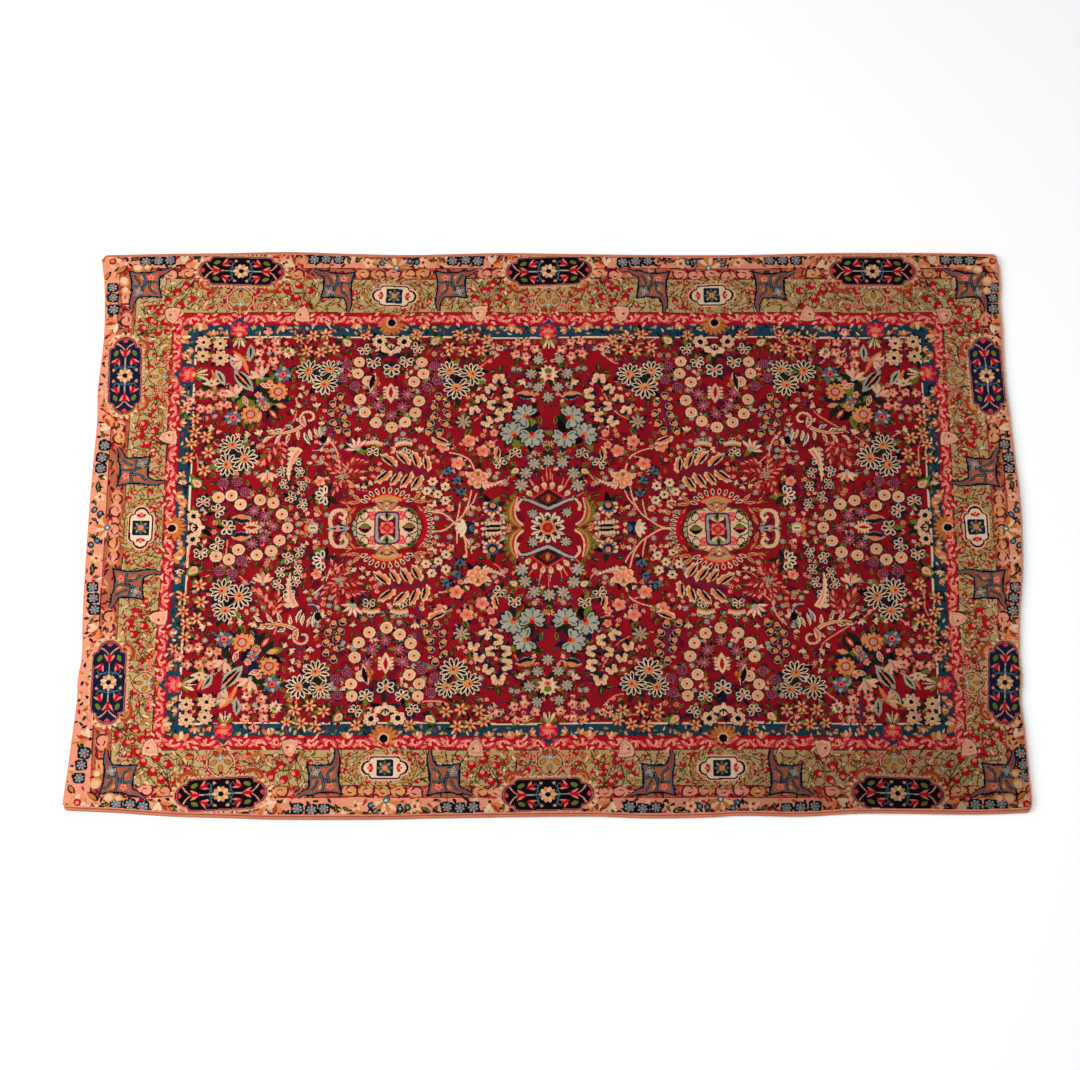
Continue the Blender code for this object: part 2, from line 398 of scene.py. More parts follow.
def cream_bud(pen):
    pen.at(-0.9, 0, 28).fill(blade(1.6, 0.5), "leaf")
    pen.at(-0.9, 0, -28).fill(blade(1.6, 0.5), "leaf")
    pen.at(-0.6, 0).fill(petal(1.5, 1.1), "cream")
    pen.at(-0.3, 0).fill(petal(0.9, 0.4), "orange")


def tiny_tulip(pen):
    for turn in (-40, 0, 40):
        pen.at(-0.5, 0, turn).fill(petal(1.3, 0.55), "cream")
    pen.at(-0.45, 0).fill(oval(0.3), "pink")


def wreath_flower(pen, petals="tan", heart="grey"):
    """A round flower of the rose wreath: petals, a red ring and a pale heart."""
    accent = "orange" if petals == "tan" else "grey"
    for i in range(11):
        pen.at(0, 0, 360 / 11 * i).fill(petal(1.0, 0.44), petals if i % 3 else accent)
    pen.fill(oval(0.5, sides=9), "red")
    pen.fill(oval(0.36, sides=8), "pink")
    pen.fill(oval(0.24, sides=7), heart)


def blue_wreath_flower(pen):
    wreath_flower(pen, "slate", "red")


def spear(pen, out="cream", mid="red", inner="cream"):
    """A leaf with two linings."""
    pen.fill(blade(1.0, 0.46), out)
    pen.at(0.12, 0).fill(blade(0.72, 0.28), mid)
    pen.at(0.25, 0).fill(blade(0.42, 0.12), inner)


def dark_spear(pen):
    spear(pen, "moss", "rose", "cream")


def orange_spear(pen):
    spear(pen, "tan", "orange", "cream")


def lance(pen):
    """The big lance leaf: grey-white edge, two navy stripes and an orange rib."""
    pen.fill(blade(1.0, 0.46), "grey")
    for side in (-1, 1):
        pen.at(0.08, 0.075 * side, -2 * side).fill(blade(0.74, 0.14), "ink")
    pen.at(0.06, 0).fill(blade(0.72, 0.075), "orange")


def orange_wing(pen):
    pen.fill(blade(1.0, 0.2, 0.3), "orange")
    pen.at(0.05, 0.05).fill(blade(0.8, 0.07, 0.3), "rose")


def grey_wing(pen):
    pen.fill(blade(1.0, 0.42, 0.12), "grey")
    pen.at(0.15, 0.02).fill(blade(0.66, 0.12, 0.1), "moss")


def frond_leaf(pen):
    """Half an orange leaf with a black stripe along its straight side."""
    outline = np.array([0, 0.3 - 0.17j, 0.72 - 0.18j, 1.04, 0.9 + 0.08j, 0.86 + 0.22j, 0.62 + 0.18j,
                        0.5 + 0.27j, 0.32 + 0.2j, 0.18 + 0.24j, 0.08 + 0.12j])
    pen.fill(outline * 1.08 - 0.03, "moss")
    pen.fill(outline, "cream")
    pen.at(0.08, 0.05).fill(blade(0.8, 0.24), "orange")
    pen.at(0.06, -0.07, 2).fill(blade(0.9, 0.15), "ink")


def feather(pen):
    """A long leaf with a toothed edge."""
    pen.fill(stroke(((0, 0), (0.35, 0.06), (0.7, 0.02), (1, -0.12)), 0.24, 0.04), "moss")
    for i in range(6):
        pen.at(0.06 + 0.14 * i, 0.05 - 0.03 * i, 62).fill(blade(0.24 - 0.02 * i, 0.14), "cream")
    pen.fill(stroke(((0.02, -0.02), (0.35, 0.03), (0.7, -0.01), (0.97, -0.12)), 0.19, 0.03), "cream")
    pen.fill(stroke(((0.08, -0.02), (0.35, 0.02), (0.66, -0.02)), 0.08, 0.02), "pink")


def rust_spray(pen):
    """Rust-coloured leaves along a stem."""
    for i, turn in enumerate((-50, 46, -42, 40, -30, 28, 0)):
        pen.at(0.14 * i, 0, turn).fill(blade(0.36, 0.13), "rust" if i % 2 else "pink")


def moon_boat(pen):
    """A navy and orange wing, edged in cream."""
    pen.fill(blade(1.0, 0.5, 0.0), "grey")
    pen.at(0.05, 0.05).fill(blade(0.88, 0.34), "navy")
    pen.at(0.08, -0.1).fill(blade(0.84, 0.22), "orange")


def drop(pen):
    """A cream drop with a red heart, toothed at its edge."""
    for side in (-1, 1):
        for i in range(4):
            pen.at(0.2 + 0.16 * i, 0.16 * side, 70 * side).fill(blade(0.2, 0.13), "cream")
    pen.fill(blade(1.0, 0.46), "cream")
    pen.at(0.16, 0).fill(blade(0.62, 0.2), "red")


def side_wing(pen):
    pen.fill(blade(1.0, 0.36, -0.08), "cream")
    pen.at(0.05, 0.02).fill(blade(0.85, 0.24, -0.08), "ink")
    pen.at(0.1, -0.17).fill(blade(0.8, 0.2, -0.05), "rust")
    pen.at(0.16, -0.17).fill(blade(0.6, 0.09, -0.05), "ochre")


def heart_flower(pen):
    """Cream petals with navy hearts over a blush cup."""
    for turn in (-62, 62):
        pen.at(-0.1, 0, turn).fill(petal(1.15, 0.74), "cream")
        pen.at(0.1, 0, turn).fill(petal(0.6, 0.3), "orange")
    pen.at(-0.5, 0).fill(petal(1.4, 1.0), "blush")
    pen.at(-0.2, 0).fill(petal(0.9, 0.6), "ivory")
    for turn in (-40, 0, 40):
        pen.at(0.1, 0, turn).fill(petal(0.62, 0.22), "ink")


def navy_eye(pen):
    for turn in (-90, -40, 10, 60, 110, 170, 230):
        pen.at(0, 0, turn).fill(petal(1.0, 0.66), "cream")
        pen.at(0, 0, turn).at(0.45, 0).fill(petal(0.4, 0.2), "tan")
    pen.fill(oval(0.42, 0.36), "ink")


def shell(pen):
    """White and pink teeth on a blush shell."""
    for turn in (-66, -33, 0, 33, 66):
        pen.at(-0.5, 0, turn).fill(blade(1.5, 0.42), "ivory")
        pen.at(-0.5, 0, turn + 12).fill(blade(1.2, 0.2), "rose")
    pen.at(-0.4, 0).fill(oval(0.36), "grey")


def bell_shell(pen):
    """A grey bell with two dark eyes over a striped cream and orange leaf."""
    pen.at(0.75, 0).fill(oval(0.62, 0.7), "grey")
    for side in (-1, 1):
        pen.at(0.95, 0.3 * side).fill(oval(0.2), "ink")
    pen.at(0, -1.5, 0).fill(stroke(((0.0, 0), (0.3, 1.5), (0.0, 3.0)), 0.75), "cream")
    pen.at(-0.25, -1.3, 0).fill(stroke(((0.0, 0), (0.25, 1.3), (0.0, 2.6)), 0.3), "orange")


def brown_star(pen):
    flower(pen, 8, "grey", "ochre", core="orange", edge="moss", width=0.3, heart_size=0.22)


def palm_crown(pen):
    """A pink and orange palmette outlined in cream, with two winged leaves."""
    for side in (-1, 1):
        pen.at(0.1, 0.5 * side, 62 * side).fill(blade(0.9, 0.5, -0.2 * side), "blush")
        pen.at(0.2, 0.6 * side, 62 * side).fill(blade(0.5, 0.2), "orange")
    for turn in (-120, -60, 0, 60, 120, 180):
        pen.at(0, 0, turn).fill(petal(1.0, 0.8), "blush")
    pen.fill(oval(0.76), "orange")
    for turn in range(0, 360, 60):
        pen.at(0, 0, turn + 25).fill(petal(0.66, 0.3), "blush")
    pen.fill(oval(0.3), "pink")
    pen.at(0.45, 0).fill(oval(0.2), "leaf")


def volute(pen):
    """A navy ring round an orange core, with cream scallops on its open side."""
    for turn in range(-120, 61, 30):
        pen.at(0, 0, turn).fill(petal(1.0, 0.5), "cream")
    for turn in range(-105, 60, 30):
        pen.at(0, 0, turn).fill(petal(0.84, 0.3), "rust")
    pen.fill(oval(0.62), "slate")
    pen.fill(oval(0.5), "navy")
    pen.at(-0.08, 0.08).fill(oval(0.3), "orange")


def lily(pen):
    """A wide cream lily."""
    for turn in (-80, -42, 0, 42, 80):
        pen.at(0, 0, turn).fill(blade(1.0 if turn else 0.8, 0.34), "cream")
    pen.at(0.05, 0).fill(oval(0.3, 0.4), "cream")
    pen.at(0.12, 0).fill(oval(0.15), "leaf")


def fan_blossom(pen):
    """A striped pink and cream blossom seen from the side."""
    for turn, wool in zip((-60, -30, 0, 30, 60), ("blush", "cream", "pink", "cream", "blush")):
        pen.at(-0.6, 0, turn).fill(petal(1.6, 0.52), wool)
    pen.at(-0.6, 0).fill(blade(1.2, 0.12), "rust")
    pen.at(-0.7, 0).fill(oval(0.26), "grey")


def leaf(pen):
    pen.fill(blade(1.0, 0.44), "leaf")
    pen.at(0.1, 0.03).fill(blade(0.75, 0.16), "moss")


def dark_leaf(pen):
    pen.fill(blade(1.0, 0.5), "moss")
    pen.at(0.1, 0.04).fill(blade(0.7, 0.16), "leaf")


def slate_leaf(pen):
    pen.fill(blade(1.0, 0.5), "ink")
    pen.at(0.05, 0).fill(blade(0.8, 0.3), "slate")


def half_palmette(pen):
    """The leafy cup that stands in the field under a crossing carnation."""
    for side in (-1, 1):
        pen.at(0, 0, 52 * side).fill(blade(1.5, 0.6), "leaf")
        pen.at(0, 0, 26 * side).fill(petal(1.9, 0.5), "cream")
    pen.fill(petal(1.8, 0.6), "ink")
    pen.at(0.1, 0).fill(blade(2.0, 0.24), "cream")


def cream_palmette(pen):
    """A jagged cream palmette with a green heart."""
    for turn in (-150, -115, -80, -45, -15, 15, 45, 80, 115, 150):
        pen.at(0, 0, turn).fill(blade(1.05, 0.46), "cream")
    pen.fill(oval(0.66), "ivory")
    pen.at(0.3, 0).fill(oval(0.34, 0.4), "leaf")
    pen.at(-0.25, 0).fill(oval(0.32, 0.36), "pink")
    pen.at(-0.25, 0).fill(oval(0.16), "red")


# ---------------------------------------------------------------- large motifs of the field
def acanthus(pen):
    """The cream scroll: a curled head, a sweeping body and hooked leaves."""
    rows = (  # foot x, foot y, turn, length, wool
        (-1.2, -2.4, -104, 3.4, "orange"), (-0.2, -2.8, -84, 3.0, "tan"), (2.2, -3.0, -70, 2.6, "orange"),
        (4.2, -3.9, -54, 2.8, "rust"), (6.2, -4.2, -42, 2.8, "orange"), (8.6, -4.6, -24, 2.6, "tan"),
        (1.0, -3.6, -96, 3.6, "slate"), (-2.6, -2.0, -84, 4.0, "mist"), (3.6, -2.6, 40, 2.0, "slate"),
        (5.8, -3.4, 28, 2.2, "rust"), (1.8, -1.2, 60, 1.8, "tan"), (7.8, -3.6, 30, 2.0, "orange"),
    )
    for x, y, turn, length, wool in rows:
        leaf_pen = pen.at(x, y, turn)
        leaf_pen.fill(blade(length * 1.08, 1.35, -0.3), "moss")
        leaf_pen.fill(blade(length, 1.0, -0.3), "ivory")
        leaf_pen.at(0.25, -0.12).fill(blade(length * 0.75, 0.45, -0.3), wool)
    body = ((1.7, 0.4), (1.2, -1.6), (2.8, -2.9), (5.8, -3.8), (9.2, -3.9))
    pen.fill(stroke(body, 1.7, 0.6), "moss")
    pen.fill(stroke(body, 1.3, 0.4), "cream")
    pen.fill(stroke(body, 0.45, 0.2), "orange")
    pen.fill(coil(2.3, 1.0, 1.1, 0.7, -70), "moss")
    pen.fill(coil(2.25, 1.0, 0.8, 0.5, -70), "cream")
    pen.fill(coil(2.15, 0.8, 0.28, 0.15, -70), "rose")


def navy_hook(pen):
    pen.fill(stroke(((0.2, 1.2), (-0.3, -0.8), (0.8, -2.6), (2.2, -2.9)), 1.0, 0.3), "grey")
    pen.fill(oval(0.75, 1.15), "ink")
    pen.at(-1.1, -0.4).fill(oval(0.36, 0.8), "cream")
    pen.fill(stroke(((-0.1, -1.2), (0.8, -2.4), (2.0, -2.7)), 0.45, 0.2), "navy")


def frond(pen):
    """The frond between the disc ring and the medallion: eight half leaves on a purple stem."""
    pen.fill(stroke(((-0.6, 0.5), (-2.4, 0.5), (-5.6, 0.2), (-9.0, -1.4)), 0.6, 0.4), "purple")
    rows = (  # foot x, foot y, turn, length
        (-2.1, 0.9, 41, 4.9), (-5.0, 1.2, 49, 4.8), (-7.1, 0.4, 70, 4.6), (-9.0, -0.6, 82, 4.4),
        (-0.9, 0.0, -37, 4.9), (-2.9, -0.3, -55, 4.2), (-5.5, -0.4, -56, 4.8), (-7.7, -1.2, -58, 4.7),
    )
    for x, y, turn, length in rows:
        frond_leaf(pen.at(x, y, turn, length, turn < 0))


def medallion(pen):
    """The cream medallion with its framed rose; its long axis runs along the rug's length."""
    for side in (-1, 1):
        for other in (-1, 1):
            garland(pen.toward(other, side))
        crown(pen.at(0, 0, 0 if side > 0 else 180))
    for i in range(26):
        angle = 2 * math.pi * i / 26
        place = pen.at(7.1 * math.cos(angle), 5.0 * math.sin(angle))
        place.fill(oval(1.1), "moss")
        place.fill(oval(0.85), "grey" if i % 2 else "sage")
    pen.fill(box(7.0, 4.4, 2.5), "moss")
    pen.fill(box(6.8, 4.2, 2.5), "cream")
    pen.fill(box(5.0, 5.2, 1.9), "cream")
    for sx in (-1, 1):
        for sy in (-1, 1):
            corner = pen.at(5.3 * sx, 3.1 * sy).toward(sx, sy)
            corner.fill(coil(1.6, 1.1, 0.3, 0.24, 40), "moss")
            corner.fill(stroke(((-2.6, 1.6), (-1.2, 1.9), (0.4, 1.4), (1.6, 0.2)), 0.34, 0.2), "leaf")
            corner.fill(stroke(((-0.6, -1.2), (0.8, -1.6), (1.9, -2.4)), 0.3, 0.2), "moss")
            for x, y, size in ((-2.1, -0.4, 0.85), (-1.6, 0.5, 0.6), (-2.4, 0.7, 0.5)):
                corner.at(x, y).fill(oval(size), "rose")
                corner.at(x, y).fill(oval(size * 0.5), "pink")
        lens = pen.at(5.0 * sx, 0)
        lens.fill(blade(3.2, 2.6) - 1.6, "ink")
        lens.at(0, 0.4).fill(blade(2.6, 1.3) - 1.3, "leaf")
        lens.fill(box(1.0, 0.13), "rose")
    for side in (0, 180):
        top = pen.at(0, 0, side)
        for lean in (-1, 1):
            top.at(0.2 * lean, 4.2, 90 - 52 * lean).fill(blade(3.4, 1.3, 0.12 * lean), "rust")
            top.at(0.4 * lean, 4.4, 90 - 50 * lean).fill(blade(2.7, 0.7, 0.12 * lean), "orange")
            top.fill(stroke(((0, 4.0), (0.9 * lean, 5.6), (2.6 * lean, 6.6)), 0.26), "mist")
        top.fill(stroke(((-2.2, 6.8), (0, 7.3), (2.2, 6.8)), 0.7), "sage")
        top.at(0, 6.1).fill(oval(0.9, 0.62), "ochre")
        top.at(0, 6.1).fill(oval(0.4, 0.3), "cream")
    pen.fill(box(2.9, 4.2, 1.1), "purple")
    pen.fill(box(2.55, 3.7, 0.9), "mist")
    pen.fill(box(2.0, 3.1, 0.8), "wine")
    for side in (0, 180):
        top = pen.at(0, 2.4, 90) if not side else pen.at(0, -2.4, -90)
        for turn, wool in ((-52, "ivory"), (52, "ivory"), (-20, "sage"), (20, "leaf")):
            top.at(-0.6, 0, turn).fill(petal(1.9, 0.8), wool)
        top.at(-0.2, 0).fill(blade(1.9, 0.8), "moss")
    for turn in range(0, 360, 45):
        pen.at(0, 0, turn).fill(petal(1.85, 1.2), "pink" if turn % 90 else "rose")
    pen.fill(oval(1.05, sides=10), "red")
    pen.fill(oval(0.7, sides=9), "rose")
    pen.fill(oval(0.42, 0.5), "ochre")


def garland(pen):
    """Rust and tan leaves running round a quarter of the medallion."""
    rows = ((0.6, 6.6, 10, 3.8), (3.4, 6.9, 0, 3.6), (6.0, 6.6, -10, 3.4), (7.0, 5.6, -62, 3.2),
            (8.2, 3.4, -78, 2.6), (2.8, 6.4, 42, 2.4), (5.8, 6.8, 34, 2.8), (8.6, 6.2, 10, 2.4),
            (8.0, 5.0, -20, 2.6))
    for i, (x, y, turn, length) in enumerate(rows):
        part = pen.at(x, y, turn)
        part.fill(blade(length * 1.08, 1.3, 0.15), "wine")
        part.fill(blade(length, 0.95, 0.15), "rust" if i % 2 else "tan")
        part.at(0.3, 0).fill(blade(length * 0.7, 0.4, 0.15), "orange" if i % 2 else "rust")


def crown(pen):
    """The fan of ivory and black teeth over the medallion, on a red arc."""
    pen.fill(stroke(((-5.0, 6.6), (-2.6, 8.1), (0, 8.6), (2.6, 8.1), (5.0, 6.6)), 1.3), "red")
    pen.fill(stroke(((-3.4, 6.9), (0, 8.0), (3.4, 6.9)), 0.7), "orange")
    for i in range(10):
        angle = 20 + 15.6 * i
        x, y = math.cos(math.radians(angle)), math.sin(math.radians(angle))
        part = pen.at(4.6 * x, 5.4 + 3.1 * y, angle)
        part.fill(petal(1.8, 0.95), "ivory")
        part.at(0.35, 0).fill(petal(1.2, 0.55), "ink")


def rosette(pen):
    """The central rosette: an orange and red octagon in petals of ivory, navy and cream."""
    pen.fill(oval(3.5, sides=12), "wine")
    for turn in (25, 65, 115, 155, 205, 245, 295, 335):
        pen.at(0, 0, turn).at(1.4, 0).fill(petal(2.7, 0.75), "cream")
    for i in range(8):
        part = pen.at(0, 0, 45 * i)
        part.at(1.2, 0).fill(petal(2.8, 1.7), "moss")
        part.at(1.3, 0).fill(petal(2.5, 1.35), "ivory")
        part.at(1.3, 0).fill(petal(1.7, 0.95), "navy")
        part.at(2.4, 0).fill(blade(1.1, 0.2), "slate")
    pen.fill(oval(1.9, sides=8), "ochre")
    pen.fill(oval(1.75, sides=8), "orange")
    pen.fill(oval(1.3, sides=8), "rust")
    pen.fill(oval(1.1, sides=8), "red")
    pen.fill(oval(0.42), "leaf")


def stepped_crest(pen):
    """The crest beyond the rosette: a small diamond under a row of cream scallops."""
    for side in (-1, 1):
        for x, y, turn in ((0.8, 9.3, 84), (2.3, 8.6, 66), (3.6, 7.6, 48), (4.6, 6.4, 28)):
            scallop = pen.at(x * side, y, turn if side > 0 else 180 - turn)
            scallop.fill(stroke(((1.4, 0), (3.6, 0.3)), 0.3, 0.15), "pink")
            scallop.fill(petal(2.0, 1.55), "moss")
            scallop.fill(petal(1.8, 1.3), "cream")
            scallop.fill(petal(1.2, 0.6), "tan")
    for half, wool in ((4.0, "rose"), (3.4, "wine"), (3.0, "moss"), (1.9, "red"), (1.3, "moss")):
        pen.fill(np.array([-half + 7j, (7 + 0.72 * half) * 1j, half + 7j, (7 - 0.66 * half) * 1j]), wool)
    pen.at(0, 6.1, 90).fill(blade(1.8, 1.1), "ochre")
    for side in (-1, 1):
        wing = ((0, 4.5), (2.2 * side, 5.5), (4.4 * side, 6.6), (6.4 * side, 6.9))
        pen.fill(stroke(wing, 1.5, 1.0), "navy")
        pen.fill(stroke(wing, 0.8, 0.5), "grey")
        tail = ((6.0 * side, 6.9), (7.0 * side, 5.4), (6.7 * side, 4.0))
        pen.fill(stroke(tail, 0.9, 1.2), "wine")
        pen.fill(stroke(tail, 0.5, 0.8), "blush")


def long_leaf(pen):
    """The tall leaf beside the rosette: toothed, green outside and cream inside."""
    teeth = ((-0.6, -3.2, -20), (0.5, -2.3, 5), (1.0, -1.1, 25), (1.1, 0.2, 40), (0.8, 1.4, 55),
             (0.2, 2.5, 75))
    for x, y, turn in teeth:
        pen.at(x, y, turn).fill(blade(1.3, 0.8), "leaf")
    bands = ((0.5, 1.5, "leaf"), (0.0, 1.1, "orange"), (-0.5, 0.8, "rust"), (-0.9, 0.5, "cream"))
    for out, width, wool in bands:
        route = ((-2.1 + 0.3 * out, -3.7), (out, -2.2), (0.5 + out, 0.2), (-0.6 + 0.4 * out, 3.1))
        pen.fill(stroke(route, width, 0.3), wool)


def lens_flower(pen):
    """The long navy, cream and green leaf on the rug's long middle line."""
    for i in range(7):
        for side in (-1, 1):
            pen.at(-2.4 + 0.8 * i, 0.9 * side, 90 * side).fill(blade(0.9, 0.7), "cream")
    pen.fill(blade(6.0, 2.9) - 3.0, "cream")
    for side in (-1, 1):
        pen.at(0, 0.5 * side).fill(blade(5.0, 0.9) - 2.5, "ink")
    pen.fill(blade(4.6, 0.6) - 2.3, "sage")


def white_crown(pen):
    for turn in (-60, -30, 0, 30, 60):
        pen.at(-0.9, 0, turn).fill(petal(2.6, 0.9), "ivory")
    pen.at(-1.8, 0, 0).fill(box(0.8, 1.6), "navy")
    for turn in (-40, 0, 40):
        pen.at(-1.4, 0, 180 + turn).fill(blade(1.5, 0.5), "slate")


def bead_column(pen):
    """Ivory and black teeth in an arc at the medallion's inner end."""
    pen.fill(stroke(((1.4, -3.8), (0.2, -1.8), (0.0, 0), (0.2, 1.8), (1.4, 3.8)), 1.1), "red")
    for i in range(-4, 5):
        part = pen.at(0.055 * i * i - 0.3, 0.92 * i, 180 - 9 * i)
        part.fill(petal(1.5, 0.74), "ivory")
        part.at(0.3, 0).fill(petal(0.95, 0.4), "ink")


def scroll_arch(pen):
    """Two cream curls back to back over a grey and navy cross."""
    for side in (-1, 1):
        half = pen.toward(1, side)
        half.fill(stroke(((1.4, 0.2), (1.7, 2.0), (0.9, 4.1), (-1.0, 4.4), (-1.9, 3.3)), 0.9, 0.9), "cream")
        half.fill(stroke(((-1.9, 3.4), (-1.3, 2.3), (-0.3, 3.0)), 0.8, 0.5), "cream")
        half.fill(stroke(((-1.6, 0.3), (-0.2, 1.2), (0.6, 2.3)), 0.7, 0.3), "navy")
    pen.fill(blade(5.2, 1.5) - 2.6, "grey")
    pen.fill(blade(3.4, 0.7) - 1.7, "navy")
    pen.fill(oval(0.5), "pink")


def slot_flower(pen):
    for turn in (50, 90, 130, 230, 270, 310):
        pen.at(0, 0, turn).fill(petal(1.3, 0.9), "grey")
    pen.at(1.2, 0).fill(oval(0.6, 0.8), "orange")
    pen.fill(oval(1.0, 0.7), "ivory")
    pen.fill(box(0.6, 0.14), "ink")


def cone_tree(pen):
    for i in range(4):
        pen.at(0, 0.5 * i, 90).fill(blade(1.3, 1.6 - 0.35 * i), "leaf" if i % 2 else "moss")


# ---------------------------------------------------------------- motifs of the borders
def band_carnation(pen):
    """The red carnation that crosses the blue band, over a navy chevron."""
    pen.fill(np.array([0.4 - 2.9j, 3.4, 0.4 + 2.9j, -1.6 + 2.4j, -1.6 - 2.4j]), "teal")
    for turn in range(-150, 151, 30):
        pen.at(0, 0, turn).fill(petal(2.15, 1.2), "red" if turn % 60 else "rose")
    for turn in range(-75, 80, 30):
        pen.at(-0.3, 0, turn).fill(petal(1.5, 0.42), "pink")
    pen.at(-0.9, 0).fill(oval(0.75, 0.95), "rose")
    pen.at(-1.2, 0).fill(oval(0.6, 0.75), "orange")
    pen.at(-1.3, 0).fill(oval(0.3, 0.4), "cream")


def band_palmette(pen):
    """The ochre half palmette over the blue band, with a navy heart."""
    for turn in range(105, 256, 21):
        pen.at(0.6, 0, turn).fill(petal(3.5, 1.05), "rust")
        pen.at(0.6, 0, turn).fill(petal(3.3, 0.8), "ochre")
    for turn in (70, 290):
        pen.at(0.6, 0, turn).fill(petal(2.4, 0.9), "ochre")
    pen.at(0.4, 0).fill(oval(1.35, 1.3), "blush")
    pen.at(0.5, 0).fill(oval(1.0, 0.95), "ink")
    pen.at(1.3, 0).fill(blade(1.5, 0.9), "red")


def lobed(half_x, half_y, lobe):
    """Half sizes of a cartouche's body and the radius of its two end lobes, as three shapes."""
    return (box(half_x, half_y, 0.8), oval(lobe, sides=12) + half_x, oval(lobe, sides=12) - half_x)


def side_cartouche(pen):
    cartouche(pen, "navy")


def cartouche(pen, body="ink"):
    """A dark cartouche with its cream rosette, tulips, hooks and halo."""
    for side in (-1, 1):
        for i in range(15):
            pen.at(-6.6 + 0.95 * i, 4.0 * side, 90).fill(oval(0.42, 0.34, 6), "cream")
            pen.at(-6.6 + 0.95 * i, 4.0 * side, 90).fill(oval(0.16, 0.12, 5), "brown")
        facing = 180 if side < 0 else 0
        for turn in range(-60, 61, 24):
            pen.at(7.6 * side, 0, turn + facing).at(3.0, 0).fill(oval(0.5, 0.4, 6), "cream")
    for shape in lobed(7.45, 3.95, 2.9):
        pen.fill(shape, "tan")
    for shape in lobed(7.3, 3.75, 2.7):
        pen.fill(shape, "wine")
    for shape in lobed(7.2, 3.6, 2.55):
        pen.fill(shape, "mauve")
    for shape in lobed(7.1, 3.45, 2.4):
        pen.fill(shape, body)
    for side in (-1, 1):
        half = pen.toward(side, side)
        half.fill(stroke(((1.6, 0), (3.2, 0), (4.9, 0)), 0.28), "grey")
        for up in (-1, 1):
            half.fill(stroke(((1.7, 0.2 * up), (2.2, 1.6 * up), (1.0, 2.6 * up)), 0.2), "slate")
            half.fill(stroke(((2.6, 0), (2.0, 1.9 * up), (2.9, 2.7 * up)), 0.2), "slate")
            tulip(half.at(3.7, 1.85 * up, 155 * up, 1.3))
            half.at(5.7, 2.1 * up, -24 * up).fill(oval(0.85, 0.5, 8), "leaf")
            half.fill(stroke(((8.2, 1.9 * up), (7.4, 0.8 * up), (6.4, 0.1 * up)), 0.34, 0.2), "salmon")
            half.at(1.4, 2.6 * up).fill(oval(0.4, 0.32, 6), "tan")
        tulip(half.at(5.6, 0, 0, 1.45))
        fan = half.at(8.7, 0)
        for turn in (-34, 0, 34):
            fan.at(-0.3, 0, turn).fill(petal(1.0, 0.4), "rose")
    for i in range(10):
        pen.at(0, 0, 36 * i).fill(petal(1.85, 0.95), "tan" if i % 2 else "cream")
    pen.fill(oval(0.62, sides=10), "ink")


def tulip(pen):
    pen.at(-0.7, 0).fill(petal(1.25, 1.25), "red")
    for turn in (-34, 34):
        pen.at(-0.5, 0, turn).fill(blade(1.5, 0.42), "pink")
    pen.at(-0.6, 0).fill(blade(1.5, 0.62), "red")


def cartouche_hooks(pen):
    """The rust crescents and orange curls at a cartouche's shoulders, on its inner side."""
    for side in (-1, 1):
        crescent = ((8.9 * side, -1.9), (8.6 * side, -4.4), (6.6 * side, -5.2), (5.0 * side, -4.2))
        pen.fill(stroke(crescent, 0.7, 1.0), "rust")
        pen.fill(stroke(((8.6 * side, -2.4), (8.2 * side, -4.2), (6.6 * side, -4.7)), 0.25, 0.3), "orange")
        curl = stroke(((9.0 * side, 2.0), (9.0 * side, 3.9), (6.8 * side, 4.6)), 0.45, 0.3)
        pen.fill(curl, "orange")
        pen.fill(stroke(((10.4 * side, 0.9), (10.0 * side, 2.6), (8.6 * side, 3.5)), 0.3, 0.2), "cream")


def crest(pen):
    """The ochre crest inside a cartouche: scrolled outline, drops and a blue flower."""
    outline = [(0, 1.2), (1.7, 0.2), (3.2, -1.8), (3.0, -3.6), (1.7, -5.2), (0, -6.4)]
    right = [complex(x, y) for x, y in outline]
    both = np.array(right + [-point.conjugate() for point in reversed(right[1:-1])])
    pen.fill(both, "salmon")
    pen.fill(both * 0.9 - 0.2j, "brown")
    pen.fill(both * 0.82 - 0.4j, "sage")
    for x, y, turn, wool in ((0, -1.2, 90, "ochre"), (1.5, -2.6, 40, "ochre"), (-1.5, -2.6, 140, "ochre"),
                             (1.0, -4.6, -50, "rust"), (-1.0, -4.6, 230, "rust"), (0, -5.4, -90, "ochre")):
        pen.at(x, y, turn).fill(oval(0.95, 0.62, 8), "brown")
        pen.at(x, y, turn).fill(oval(0.8, 0.48, 8), wool)
    pen.at(0, -0.1).fill(oval(0.5, 0.4), "purple")
    flower(pen.at(0, -3.6, 0, 0.9), 5, "grey", "ivory", core="slate", width=0.7)


def side_sprig(pen):
    """Small pink flowers and an ochre lily beside the crest."""
    for side in (-1, 1):
        for x, y in ((3.9, 0.6), (4.8, -1.5), (3.4, -1.7)):
            flower(pen.at(x * side, y, 20, 0.7), 5, "pink", "red", edge="brown", width=0.7)
        bloom = pen.at(8.0 * side, -1.4, 90 + 25 * side, 1.5)
        for turn in (-50, 0, 50):
            bloom.at(-0.5, 0, turn).fill(blade(1.5, 0.6), "brown")
            bloom.at(-0.5, 0, turn).fill(blade(1.4, 0.45), "ochre" if turn else "cream")
        pen.fill(stroke(((1.6 * side, 1.0), (5.6 * side, 0.4), (9.6 * side, -0.4)), 0.14), "brown")


def rosebud(pen):
    """A red bud with a pink petal, edged in brown."""
    pen.fill(oval(1.12, 0.98, 8), "brown")
    pen.at(-0.12, 0.05).fill(oval(0.86, 0.82, 8), "red")
    pen.at(0.5, -0.1).fill(oval(0.46, 0.56, 7), "pink")
    pen.at(-1.0, 0.1, 170).fill(petal(0.9, 0.5), "leaf")


